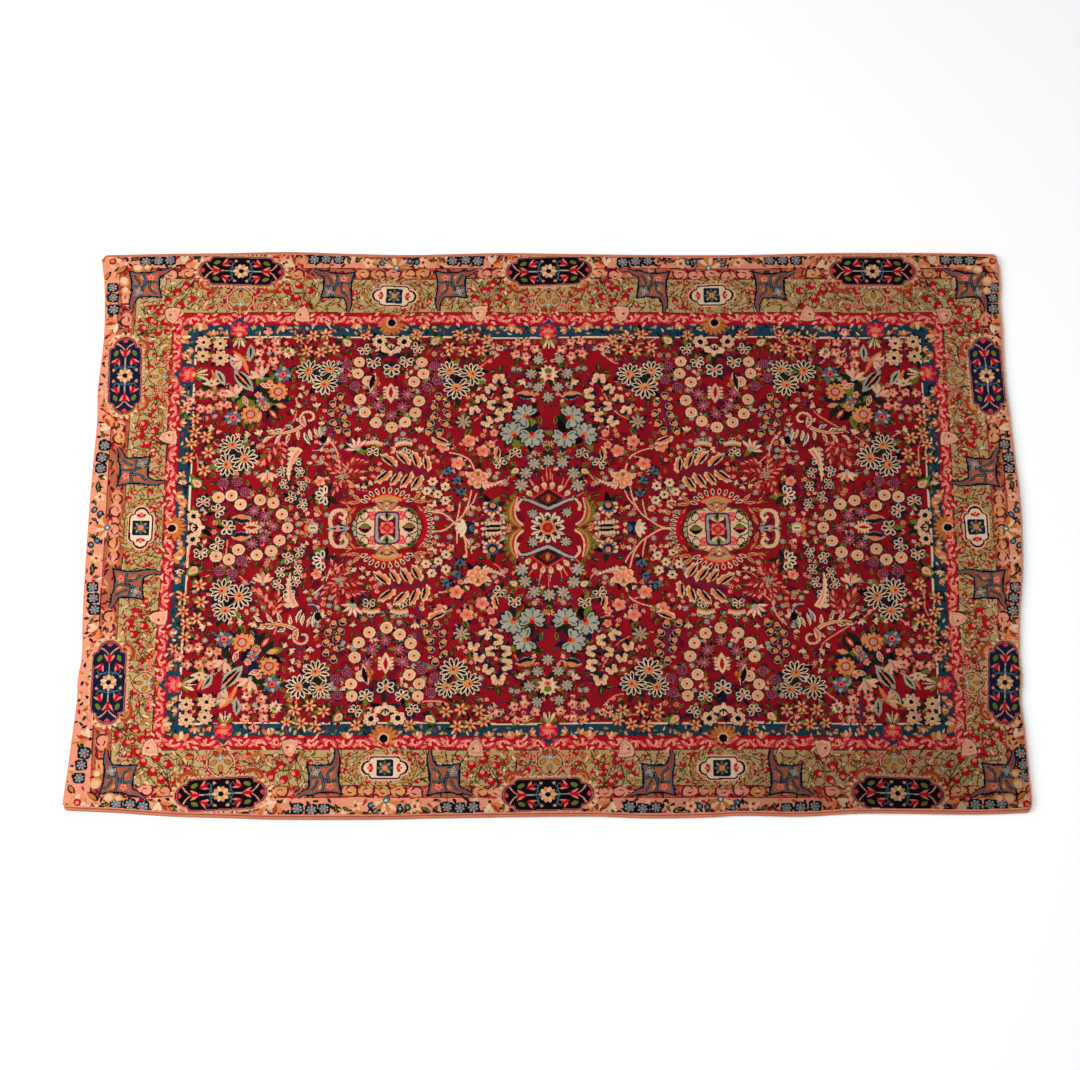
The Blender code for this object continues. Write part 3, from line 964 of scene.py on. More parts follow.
def cream_leaf(pen):
    pen.fill(blade(1.12, 0.56), "brown")
    pen.at(0.05, 0).fill(blade(1.0, 0.42), "cream")


def sprig(pen):
    """Five rosebuds on thin dark stems, with cream buds between."""
    buds = ((2.4, 1.0, 100), (-0.4, 2.1, 60), (-2.9, 0.6, 20), (0.4, -1.2, 120), (-1.7, -3.0, 80))
    for x, y, _ in buds:
        pen.fill(stroke(((-3.6, -4.6), (-2.0 + 0.3 * x, -1.6 + 0.3 * y), (x, y)), 0.2, 0.14), "brown")
    for x, y, turn in buds:
        rosebud(pen.at(x, y, turn))
    leaves = ((3.4, -1.8, 150), (1.4, 3.2, 30), (-4.6, 2.4, 60), (2.2, -3.4, 200), (-4.4, -1.4, 100))
    for x, y, turn in leaves:
        cream_leaf(pen.at(x, y, turn, 1.5))


def paisley(pen):
    """A salmon leaf with a bent tip and a dark eye."""
    shape = np.array([-1.6 + 1.9j, 0.2 + 2.1j, 1.8 + 1.7j, 1.9 + 0.2j, 1.2 - 1.3j, -0.1 - 2.1j, -1.0 - 0.8j])
    pen.fill(shape * 1.1, "brown")
    pen.fill(shape, "blush")
    pen.fill(shape * 0.7, "salmon")
    pen.fill(shape * 0.5, "blush")
    pen.at(0.7, 0.2).fill(oval(0.32, 0.28), "navy")


BRACKET = ((3.6, 3.7), (1.2, 3.1), (-1.2, 3.1), (-3.6, 3.7), (-3.1, 1.2), (-3.1, -1.2), (-3.6, -3.4),
           (-1.2, -3.0), (1.2, -3.0), (3.4, -3.4), (3.1, -1.2), (3.1, 1.2))


def bracket(pen, long_horn=((-2.6, -2.6), (-3.4, -5.0), (-3.2, -7.4)),
            short_horn=((2.6, 3.0), (4.4, 3.2), (6.4, 4.1))):
    """Strapwork: a rust panel with ink and slate outlines and two horns."""
    body = np.array([complex(x, y) for x, y in BRACKET])
    for extra, wool in ((0.66, "ink"), (0.16, "slate"), (-0.1, "rust")):
        for route in (long_horn, short_horn):
            pen.fill(stroke(route, 1.5 + 2 * extra - 0.2, max(0.1, 0.2 + extra)), wool)
        pen.fill(body * (1 + extra / 3.4), wool)
    pen.fill(body * 0.9, "clay")
    for x, y, turn, length, wool in ((-2.4, 2.4, -40, 2.2, "red"), (2.3, 1.6, 120, 1.8, "clay"),
                                     (-2.2, -2.0, 60, 2.0, "clay"), (1.0, -2.6, 10, 1.8, "red"),
                                     (0.2, 1.6, 30, 1.6, "tan"), (-0.8, -0.6, 200, 1.4, "tan")):
        pen.at(x, y, turn).fill(blade(length, 0.8, 0.2), wool)
    for route in (((-3.0, 0.6), (-0.8, 0.9), (0.6, -0.4), (3.0, -0.2)), ((0.4, 3.0), (0.2, 0.8), (1.2, -2.9)),
                  ((-1.0, 1.0), (-1.2, -1.4), (-2.8, -2.8)), ((1.4, 0.2), (2.0, 1.6), (3.0, 3.0))):
        pen.fill(stroke(route, 0.66), "ink")
        pen.fill(stroke(route, 0.26), "slate")
    flower(pen.at(1.9, -1.8, 20, 1.25), 4, "grey", "pink", edge="ink", core="slate", width=0.8)
    flower(pen.at(-1.4, 2.0, 20, 0.95), 5, "pink", "red", width=0.7)


def small_cartouche(pen):
    """The cream cartouche with a dark square centre, in its ochre leaf wreath."""
    for i in range(26):
        angle = 2 * math.pi * i / 26
        place = pen.at(6.3 * math.cos(angle), 4.2 * math.sin(angle), math.degrees(angle) + 70)
        place.fill(blade(2.0, 1.0), "brown")
        place.at(0.1, 0).fill(blade(1.7, 0.7), "ochre" if i % 2 else "sage")
    for shape in lobed(3.7, 3.05, 2.0):
        pen.fill(shape, "blush")
    for shape in lobed(3.5, 2.75, 1.75):
        pen.fill(shape, "ink")
    for shape in lobed(3.3, 2.4, 1.4):
        pen.fill(shape, "ivory")
    pen.fill(box(1.9, 1.95, 0.3), "navy")
    for i in range(8):
        pen.at(0, 0, 45 * i).fill(petal(1.7, 0.55), "grey" if i % 2 else "leaf")
        pen.at(0, 0, 45 * i).at(0.5, 0).fill(petal(0.8, 0.22), "navy")
    pen.fill(oval(0.62), "orange")
    for side in (0, 180):
        tip = pen.at(0, 0, side).at(2.9, 0)
        for turn in (-52, 0, 52):
            tip.at(-0.3, 0, turn).fill(petal(1.3, 0.75), "red" if turn else "rose")
        tip.at(0.3, 0).fill(oval(0.3), "pink")


def guard_rosette(pen):
    pen.fill(box(1.3, 1.22, 0.5), "ink")
    for i in range(7):
        pen.at(0, 0, 360 / 7 * i).fill(petal(1.12, 0.66), "slate")
        pen.at(0, 0, 360 / 7 * i).at(0.45, 0).fill(petal(0.55, 0.3), "grey")
    pen.fill(oval(0.3), "orange")


def guard_fan(pen):
    """The ochre and cream fan flower of the guard, with a slate heart."""
    for i, turn in enumerate((-72, -44, -15, 15, 44, 72)):
        pen.at(-0.8, 0, turn).fill(petal(2.9, 1.0), "ochre" if i % 2 else "cream")
    pen.at(-0.8, 0).fill(oval(0.75, 0.8), "slate")
    pen.at(-0.8, 0).fill(oval(0.35), "ivory")


def shoulder_fan(pen):
    """Cream and rust petals at a cartouche's end."""
    for turn, wool in zip((-55, -20, 15, 50), ("ivory", "cream", "rust", "orange")):
        pen.at(-1.2, 0, turn).fill(petal(2.6, 1.0), wool)
    pen.at(-1.5, 0).fill(oval(0.4), "moss")


def corner_flower(pen):
    for i in range(7):
        pen.at(0, 0, 360 / 7 * i + 12).fill(petal(2.1, 1.15), "cream" if i % 2 else "tan")
    pen.fill(oval(0.95), "red")
    pen.at(0.1, 0.1).fill(oval(0.5, 0.42), "pink")


def corner_pair(pen):
    """An ochre and a navy leaf side by side in the guard's corner."""
    pen.fill(blade(3.4, 1.5) - 1.0, "ink")
    pen.at(-0.5, 0.1).fill(blade(2.6, 1.0), "ochre")


def cream_ball(pen):
    pen.fill(oval(1.25, 1.1, 10), "tan")
    pen.at(0.15, 0.1).fill(oval(0.85, 0.75, 9), "cream")


def blue_sprig(pen):
    for x, y in ((-0.5, 0.7), (0.5, -0.6)):
        part = pen.at(x, y, 30)
        part.fill(oval(0.9, 0.75, 8), "ink")
        part.fill(oval(0.6, 0.5, 7), "slate")
        part.at(0.1, 0).fill(oval(0.25, 0.2, 5), "grey")


def guard_leaf(pen):
    pen.fill(blade(2.0, 0.95) - 1.0, "ink")
    pen.fill(blade(1.4, 0.4) - 0.7, "leaf")


def guard_bloom(pen):
    flower(pen, 5, "cream", "red", edge="tan", width=0.7, heart_size=0.32)


def scroll_unit(pen):
    """One red acanthus scroll of the ochre strip."""
    pen.fill(oval(1.9, 1.15, 10), "tan" if pen.rng.random() < 0.5 else "salmon")
    pen.fill(coil(1.5, 0.9, 0.5, 0.25, 150), "wine")
    for x, y, turn in ((1.3, 0.6, 20), (1.5, -0.5, -30), (-1.3, -0.8, 200), (-1.6, 0.5, 150)):
        pen.at(x, y, turn).fill(blade(1.6, 0.5, 0.2), "wine" if x > 0 else "red")
    pen.at(0.4, -0.1).fill(oval(0.55, 0.4, 7), "salmon")
    pen.at(-0.2, 1.2, 10).fill(blade(1.7, 0.4), "rust")


def rococo_unit(pen):
    """One turn of the rococo scroll: a curled head among rose and cream leaves."""
    leaves = (  # x, y, turn, length, width, wool
        (-2.0, -0.7, 26, 2.8, 1.5, "wine"), (-1.8, -0.6, 26, 2.3, 1.1, "rose"),
        (-1.4, -0.5, 26, 1.5, 0.5, "blush"),
        (0.1, 0.9, -40, 2.3, 1.2, "wine"), (0.2, 0.8, -40, 2.0, 0.9, "pink"),
        (0.6, -1.0, 64, 1.5, 0.8, "blush"),
        (-0.9, 1.0, 172, 1.5, 0.8, "pink"), (1.9, 0.7, -100, 1.6, 0.8, "rose"),
        (-0.3, -0.9, 200, 1.3, 0.7, "blush"),
    )
    for x, y, turn, length, width, wool in leaves:
        pen.at(x, y, turn).fill(blade(length, width, 0.4), wool)
    pen.fill(coil(0.95, 0.8, 0.62, 0.4, -70), "rose")
    pen.fill(coil(0.9, 0.7, 0.4, 0.2, -60), "blush")


def band_leaf(pen):
    pen.fill(oval(0.75, 0.5, 8), "moss")
    pen.fill(oval(0.6, 0.36, 8), "sage")


def band_bud(pen):
    for turn in (-40, 0, 40):
        pen.at(-0.6, 0, turn).fill(petal(1.5, 0.62), "orange" if turn else "cream")
    pen.at(-0.5, 0).fill(oval(0.25), "rust")


# ---------------------------------------------------------------- the quarter chart
# Turns are in degrees anticlockwise from the outward direction along the rug's length.

# Motifs with their place, size and turn. Columns: x, y (cm), size, turn.
PLACED = {
    cream_star: ((79.8, 45.9, 1.8, 5), (76.0, 45.5, 1.75, 15), (79.9, 42.3, 1.7, 0), (75.6, 41.7, 2.1, 20)),
    daisy: ((55.7, 38.4, 2.8, 10), (51.0, 38.7, 2.4, 100), (52.0, 35.0, 2.9, -90),
            (23.5, 38.3, 2.6, 60), (18.6, 37.5, 2.8, 130), (21.8, 34.3, 3.0, -90),
            (72.4, 19.5, 2.7, 80), (73.2, 14.7, 2.8, -20), (69.6, 16.4, 3.0, -150)),
    disc: ((44.2, 40.5, 1.3, 0), (44.5, 37.6, 1.3, 9), (42.3, 35.6, 1.35, 3), (43.8, 31.0, 1.35, 0),
           (42.9, 27.5, 1.35, 5), (40.4, 25.1, 1.35, 0), (36.9, 23.9, 1.4, 8), (33.8, 25.3, 1.35, 0),
           (31.4, 27.7, 1.35, 4), (30.4, 30.7, 1.35, 0), (31.8, 35.3, 1.35, 7), (29.5, 37.6, 1.35, 0),
           (29.8, 40.6, 1.3, 0), (74.9, 6.5, 1.4, 0), (72.0, 7.1, 1.4, 6), (70.0, 4.6, 1.4, 0),
           (65.7, 5.9, 1.35, 0), (62.6, 5.0, 1.4, 5), (60.6, 2.2, 1.35, 0), (59.0, MID_Y, 1.3, 0)),
    ring_rosette: ((47.1, 40.1, 1.25, 0), (47.9, 36.5, 1.25, 4), (45.4, 34.4, 1.25, 0),
                   (26.9, 39.6, 1.25, 0), (26.3, 36.1, 1.25, 7), (28.8, 34.2, 1.25, 0),
                   (74.1, 10.0, 1.3, 0), (71.1, 10.6, 1.3, 5), (69.1, 7.7, 1.3, 0)),
    dark_aster: ((41.0, 32.6, 1.4, 0), (40.0, 29.3, 1.4, 12), (36.9, 27.0, 1.35, 0), (34.2, 29.2, 1.4, 8),
                 (33.2, 32.2, 1.45, 0), (66.9, 3.1, 1.35, 5), (64.3, 1.9, 1.35, 0), (62.4, MID_Y, 1.3, 0)),
    grey_aster: ((3.5, 41.4, 1.25, 0), (5.2, 37.7, 1.35, 10), (3.4, 34.2, 1.3, 0), (MID_X, 31.5, 1.35, 0),
                 (4.3, 15.2, 1.45, 5), (6.5, 12.7, 1.5, 0), (7.3, 9.5, 1.6, 12), (MID_X, 15.9, 1.5, 0),
                 (4.8, 2.7, 1.2, 0)),
    small_star: ((54.7, 47.2, 1.5, 0), (51.8, 47.8, 1.5, 20), (56.2, 43.7, 1.5, 10), (53.1, 43.1, 1.5, 0),
                 (50.0, 44.0, 1.5, 30), (42.7, 47.5, 1.4, 0), (31.2, 47.5, 1.4, 10), (21.3, 47.8, 1.6, 0),
                 (18.3, 47.2, 1.5, 20), (15.4, 46.4, 1.4, 5), (23.5, 44.4, 1.5, 0), (20.2, 43.5, 1.6, 12),
                 (16.5, 43.8, 1.5, 0), (78.3, 21.6, 1.6, 5), (77.6, 17.7, 1.6, 0), (78.4, 13.4, 1.6, 15),
                 (81.9, 16.4, 1.5, 0), (81.5, 19.9, 1.4, 25), (80.8, 22.9, 1.5, 10), (80.8, 26.2, 1.5, 0),
                 (58.0, 46.8, 1.3, 0), (83.0, 28.8, 1.5, 10), (1.8, 20.0, 0.9, 0)),
    bell: ((48.5, 31.6, 1.05, 90), (50.1, 29.9, 1.0, 80), (47.9, 29.2, 1.0, 190), (50.2, 27.4, 1.0, 60),
           (47.6, 26.8, 1.0, 40), (49.8, 24.9, 1.0, 50), (46.9, 24.6, 1.0, 130), (48.6, 23.1, 1.0, 80),
           (46.4, 22.4, 1.1, 70), (25.9, 31.8, 1.1, 90), (24.1, 29.9, 1.0, 60), (27.0, 29.2, 1.0, 140),
           (24.0, 27.5, 1.05, 60), (27.2, 26.9, 1.05, 140), (24.5, 25.0, 1.05, 50), (27.9, 24.9, 1.1, 130),
           (25.8, 22.8, 1.1, 100), (28.4, 22.7, 1.1, 110)),
    pink_carnation: ((67.2, 46.0, 1.2, 120), (63.3, 45.8, 1.2, 40), (67.0, 43.0, 1.15, 150),
                     (63.0, 43.5, 1.3, 30), (66.9, 40.5, 1.2, 200), (63.6, 41.0, 1.3, 20),
                     (79.8, 32.8, 1.1, 0), (77.6, 32.8, 1.15, 60), (74.8, 32.8, 1.2, 100),
                     (79.8, 28.9, 1.15, 250), (77.7, 28.7, 1.2, 270), (75.3, 29.6, 1.2, 280),
                     (81.9, 31.0, 1.2, 300), (65.2, 48.3, 1.15, 90), (8.4, 45.9, 1.1, 100),
                     (6.3, 45.7, 1.1, 40), (4.0, 44.0, 1.2, 30), (8.7, 42.6, 1.2, 110), (6.4, 42.2, 1.2, 80)),
    blossom: ((12.1, 36.3, 1.7, 90), (14.2, 33.9, 1.4, 60), (10.2, 32.8, 1.6, 190), (16.3, 31.2, 1.4, 80),
              (13.7, 29.7, 1.35, 10), (17.6, 28.4, 1.4, 80), (10.4, 29.3, 1.5, 190), (12.3, 26.8, 1.5, 180),
              (15.0, 25.6, 1.5, 230)),
    dot_flower: ((27.0, 10.4, 1.15, 0), (24.2, 9.2, 1.15, 20), (28.3, 8.0, 1.15, 0), (25.8, 7.3, 1.1, 10),
                 (23.9, 5.7, 1.15, 0), (27.1, 5.1, 1.2, 30)),
    white_flower: ((41.0, 40.6, 1.8, -100), (33.3, 40.6, 1.7, -80), (43.2, 44.0, 1.6, -120),
                   (30.8, 44.2, 1.6, -60), (36.9, 38.6, 2.1, -90), (78.3, 5.5, 1.7, 90),
                   (74.9, 3.2, 1.8, 150),
                   (72.8, MID_Y, 2.0, 180), (58.3, 15.4, 1.5, 90), (60.8, 12.9, 1.45, 20),
                   (57.0, 12.5, 1.4, 170), (60.1, 9.9, 1.4, 0), (56.6, 9.3, 1.35, 180), (58.9, 6.5, 1.5, 200),
                   (56.3, 5.0, 1.4, 190), (40.6, 17.6, 1.5, 90), (33.4, 17.6, 1.5, 90), (12.0, 14.9, 1.6, 60),
                   (8.7, 17.4, 1.6, 90)),
    fan_flower: ((6.2, 26.8, 3.0, 20), (9.0, 22.4, 3.0, 60), (4.8, 21.9, 2.9, -90)),
    navy_fan: ((51.0, 7.0, 2.5, 0),),
    rose: ((19.2, 20.6, 1.6, 0), (16.0, 18.0, 1.6, 30), (25.0, 19.2, 1.6, 0), (21.5, 14.9, 1.7, 40),
           (52.3, 10.6, 1.3, 0), (66.8, 32.2, 0.9, 0), (64.4, 35.4, 0.9, 0), (23.0, 3.9, 0.9, 0),
           (13.9, 19.7, 1.0, 0), (13.4, 22.6, 1.0, 20), (73.4, 29.6, 1.0, 0)),
    blue_bud: ((23.8, 12.8, 1.2, 40), (21.5, 10.6, 1.2, 30), (20.6, 7.5, 1.25, 90)),
    cream_bud: ((47.1, 45.8, 1.5, -140), (26.8, 46.3, 1.6, -40), (80.3, 10.2, 1.7, -140),
        (9.0, 12.9, 1.2, 150)),
    tiny_tulip: ((57.2, 34.0, 0.9, 60), (57.4, 32.0, 0.8, 160), (57.6, 29.6, 0.9, 150),
        (58.9, 28.2, 0.8, -20),
                 (53.6, 29.4, 1.0, 90), (66.2, 22.7, 1.1, 70), (69.0, 22.4, 1.0, 0), (43.8, 9.5, 0.8, -60),
                 (42.4, 11.3, 0.8, 90), (40.9, 10.3, 0.8, 150), (42.3, 9.2, 0.8, -90), (52.4, 24.6, 0.8, 90),
                 (30.4, 23.3, 1.1, 90), (6.9, 35.7, 1.2, -60), (77.1, 23.8, 1.0, 20), (44.3, 23.2, 0.8, 90),
                 (17.9, 3.9, 0.8, 120), (13.7, 2.0, 0.7, 0)),
    wreath_flower: ((62.3, 33.2, 2.3, 0), (68.3, 27.3, 2.3, 10), (65.0, 29.2, 1.2, 0)),
    blue_wreath_flower: ((61.3, 37.6, 1.95, 0), (72.2, 26.5, 1.95, 8), (65.9, 30.8, 1.3, 0)),
    spear: ((69.9, 32.2, 3.0, -110), (66.6, 35.2, 3.0, -160)),
    dark_spear: ((64.4, 29.0, 4.2, -128),),
    orange_spear: ((66.0, 28.2, 3.0, -75), (63.0, 30.0, 2.8, -165)),
    lance: ((72.5, 38.6, 7.2, -128),),
    orange_wing: ((73.0, 43.6, 7.2, -140), (77.6, 38.9, 5.9, -118)),
    grey_wing: ((73.6, 42.4, 4.6, -125), (76.6, 38.7, 4.6, -128), (69.0, 45.3, 4.6, -96)),
    fan_blossom: ((72.2, 33.0, 1.8, 60), (66.8, 37.6, 1.9, 60), (71.8, 40.9, 1.5, -20),
        (64.3, 11.8, 1.7, -90)),
    lily: ((77.3, 35.0, 2.2, 90), (82.9, 10.0, 1.2, 90)),
    dark_leaf: ((52.0, 30.9, 2.0, 90), (50.4, 42.9, 1.6, -30), (45.9, 42.3, 1.8, 60), (46.4, 34.2, 1.7, 10),
                (45.8, 30.5, 1.8, 140), (44.8, 26.4, 1.7, -120), (32.9, 24.1, 1.6, -110),
                (32.3, 23.9, 1.7, -60),
                (41.6, 23.8, 1.5, -100), (28.9, 29.8, 1.6, 20), (14.8, 38.4, 2.2, 180),
                (11.9, 40.4, 2.6, -86),
                (77.2, 9.9, 1.8, 170), (78.9, 9.8, 2.2, -140), (66.2, 8.9, 1.9, -120), (53.0, 12.9, 1.6, -80),
                (50.9, 13.2, 1.8, -100), (47.2, 7.6, 1.6, -140), (47.8, 5.2, 1.9, 170),
                (22.3, 31.0, 2.0, -90),
                (72.5, 24.9, 1.7, -60), (69.4, 25.0, 1.8, -80), (61.0, 39.9, 1.5, 40), (67.3, 38.9, 1.3, 100),
                (76.3, 21.2, 1.6, 190), (17.0, 6.3, 2.0, 160), (12.0, 7.4, 2.2, 200), (17.6, 14.8, 1.6, 60),
                (20.3, 9.0, 1.2, 160), (29.0, 12.6, 1.4, -90), (42.5, 13.3, 1.7, 190),
                (24.8, 17.3, 1.8, -60)),
    leaf: ((59.7, 38.2, 1.8, 130), (59.4, 35.6, 1.8, 100), (59.2, 33.4, 1.7, 110), (60.0, 30.9, 1.7, 140),
           (67.9, 25.2, 2.2, -80), (66.0, 26.0, 1.8, -70), (74.6, 27.4, 1.5, 60), (74.0, 25.6, 1.5, -40),
           (70.9, 24.3, 1.6, -80), (68.9, 10.9, 1.7, 260), (65.9, 10.5, 1.5, 80), (63.7, 10.4, 1.8, -100),
           (78.2, 18.8, 1.6, 150), (76.9, 12.8, 1.9, -130), (66.0, 17.0, 1.7, 170), (54.6, 41.2, 1.6, 160),
           (37.0, 22.6, 1.7, -90), (35.9, 31.2, 1.4, 170), (38.0, 31.5, 1.5, 10), (29.0, 42.4, 1.6, 130),
           (46.0, 20.4, 1.3, 170), (31.8, 18.0, 1.6, 160), (22.6, 21.3, 1.7, -60), (23.4, 22.9, 1.6, -70),
           (26.0, 20.3, 1.7, 20), (16.4, 15.1, 1.6, 80), (8.3, 14.4, 1.9, 30), (6.8, 18.9, 1.6, 90),
           (3.0, 26.9, 2.2, -100), (10.2, 25.4, 1.4, -140), (51.2, 4.9, 1.4, -90), (52.9, 5.2, 1.4, -110),
           (8.3, 8.2, 1.7, -60), (20.4, 24.9, 3.0, 96), (18.6, 24.0, 2.6, -56), (26.2, 13.6, 1.4, -110),
           (59.9, 24.7, 1.5, 150), (33.3, 34.6, 1.2, 60), (2.4, 45.2, 1.8, 80), (77.0, 1.0, 1.4, 0)),
    side_wing: ((40.6, 37.8, 5.2, -72),),
    drop: ((37.0, 35.1, 5.2, -90), (69.2, MID_Y, 4.4, 180)),
    heart_flower: ((36.9, 43.2, 2.3, 90), (78.9, MID_Y, 2.3, 0)),
    navy_eye: ((39.7, 45.9, 1.75, 60), (34.0, 45.9, 1.75, 120), (80.2, 1.9, 1.6, 60)),
    moon_boat: ((8.3, 32.6, 4.6, -168), (71.8, 1.4, 4.8, -174), (10.6, 15.6, 0.1, 0)),
    shell: ((44.3, 19.3, 2.0, 60),),
    bell_shell: ((40.3, 19.7, 1.3, 90), (33.9, 19.7, 1.3, 90)),
    brown_star: ((20.3, 25.4, 1.9, 0), (47.2, 12.0, 1.2, 0)),
    palm_crown: ((16.9, 11.0, 2.5, 90),),
    volute: ((13.6, 4.2, 2.3, -40),),
    feather: ((57.1, 18.9, 8.8, -72), (16.2, 9.7, 5.6, 172)),
    frond_leaf: ((27.7, 21.6, 4.6, 205), (12.6, 19.3, 3.6, -80)),
    rust_spray: ((62.0, 20.8, 6.4, -62), (61.2, 20.4, 5.0, -96), (47.3, 11.6, 4.6, 118),
        (47.5, 11.8, 4.6, 40),
                 (47.2, 12.4, 4.4, 170), (47.4, 11.6, 4.4, -70), (47.1, 11.8, 4.4, -120),
                 (47.6, 12.6, 4.6, 86),
                 (45.4, 15.6, 3.4, 190)),
    cream_palmette: ((MID_X, 37.8, 2.3, 90), (60.5, 43.0, 1.5, 60)),
    half_palmette: ((MID_X, 46.8, 1.5, -90), (71.6, 46.9, 1.5, -90), (81.0, 37.5, 1.6, 180)),
    acanthus: ((55.3, 26.3, 0.98, 0), (12.2, 44.3, 0.42, 60)),
    navy_hook: ((51.9, 20.9, 1.0, 0),),
    frond: ((37.0, 13.2, 1.0, 0),),
    medallion: ((37.0, MID_Y, 0.98, 0),),
    rosette: ((MID_X, MID_Y, 1.0, 0),),
    stepped_crest: ((MID_X, MID_Y + 0.1, 1.0, 0),),
    long_leaf: ((9.1, 3.4, 1.0, 0),),
    lens_flower: ((13.3, MID_Y, 1.0, 0),),
    white_crown: ((20.2, MID_Y, 1.0, 0),),
    bead_column: ((28.2, MID_Y, 1.0, 0),),
    scroll_arch: ((48.0, MID_Y, 1.0, 0),),
    slot_flower: ((53.4, MID_Y, 1.15, 0),),
    cone_tree: ((MID_X, 17.6, 1.0, 0),),
}

# Pink branches and purple stems. Each row: wool, width, then the points of its route.
BRANCHES = (
    ("purple", 0.8, (64.9, 46.4), (64.9, 43.5), (65.0, 41.0)),
    ("purple", 0.9, (80.4, 30.9), (77.5, 30.7), (74.4, 31.3)),
    ("purple", 0.7, (53.8, 37.6), (50.5, 37.0), (46.8, 36.6)),
    ("slate", 0.6, (25.4, 36.2), (23.0, 36.6), (20.4, 37.2)),
    ("purple", 0.8, (49.0, 31.0), (49.2, 27.0), (48.2, 22.6)),
    ("purple", 0.8, (25.6, 31.0), (25.5, 27.0), (26.8, 22.6)),
    ("purple", 0.7, (59.0, 13.8), (58.6, 10.8), (57.6, 7.0)),
    ("purple", 0.7, (10.2, 44.2), (7.2, 44.3), (4.4, 42.6)),
    ("pink", 0.34, (60.9, 47.9), (61.0, 46.2), (60.4, 44.4)),
    ("pink", 0.40, (60.0, 42.0), (58.6, 40.8), (57.4, 39.6)),
    ("pink", 0.38, (56.9, 34.3), (56.8, 31.4), (57.6, 28.2), (60.4, 25.9), (63.2, 24.0), (65.2, 22.8),
     (68.0, 20.6), (70.6, 17.6), (71.2, 12.8)),
    ("pink", 0.38, (76.7, 24.7), (75.0, 23.2), (73.6, 22.2)),
    ("pink", 0.34, (79.7, 12.8), (79.3, 16.2), (79.4, 20.0), (80.7, 22.8)),
    ("pink", 0.36, (56.3, 45.3), (54.6, 45.0), (52.4, 45.2), (50.4, 46.2), (49.3, 48.2), (49.0, 50.4)),
    ("pink", 0.34, (23.7, 46.8), (22.4, 45.9), (20.0, 45.3), (18.0, 45.1), (16.4, 45.6)),
    ("pink", 0.34, (16.3, 40.1), (14.6, 40.5), (13.0, 41.8)),
    ("pink", 0.40, (11.9, 35.0), (12.4, 32.8), (13.4, 30.8)),
    ("pink", 0.34, (14.8, 28.3), (16.0, 27.1), (17.9, 26.0)),
    ("pink", 0.30, (23.8, 25.2), (22.9, 25.2), (22.0, 25.0)),
    ("pink", 0.32, (3.8, 31.4), (2.8, 32.6), (1.6, 33.6)),
    ("blush", 0.36, (50.2, 23.4), (48.3, 21.0), (47.5, 18.0), (47.2, 15.0), (47.1, 12.4)),
    ("blush", 0.30, (47.4, 17.6), (46.0, 16.2), (44.8, 14.8)),
    ("pink", 0.30, (46.6, 8.2), (45.9, 6.8), (45.0, 5.6)),
    ("pink", 0.30, (44.6, 11.7), (43.4, 10.6), (41.2, 10.1)),
    ("blush", 0.42, (28.2, -0.9), (26.4, -0.8), (24.6, -0.6), (22.4, 0.9), (20.3, 2.7), (18.9, 5.5),
     (18.1, 9.0)),
    ("blush", 0.34, (19.5, 4.0), (17.9, 5.9), (17.0, 8.2)),
    ("blush", 0.32, (21.6, 1.4), (21.0, 4.0), (20.7, 6.2)),
    ("blush", 0.36, (17.2, 13.4), (18.0, 16.0), (19.2, 17.3), (21.0, 18.2), (22.8, 18.7)),
    ("blush", 0.28, (19.0, 16.7), (19.8, 16.4), (20.6, 16.4)),
    ("pink", 0.30, (4.0, 8.6), (4.6, 10.0), (5.2, 11.2)),
    ("pink", 0.28, (1.2, 10.8), (1.2, 12.6), (1.2, 14.6)),
    ("pink", 0.30, (9.6, 12.2), (10.6, 10.6), (12.0, 9.9)),
    ("pink", 0.30, (14.6, 21.0), (13.2, 20.8), (11.8, 21.4)),
)

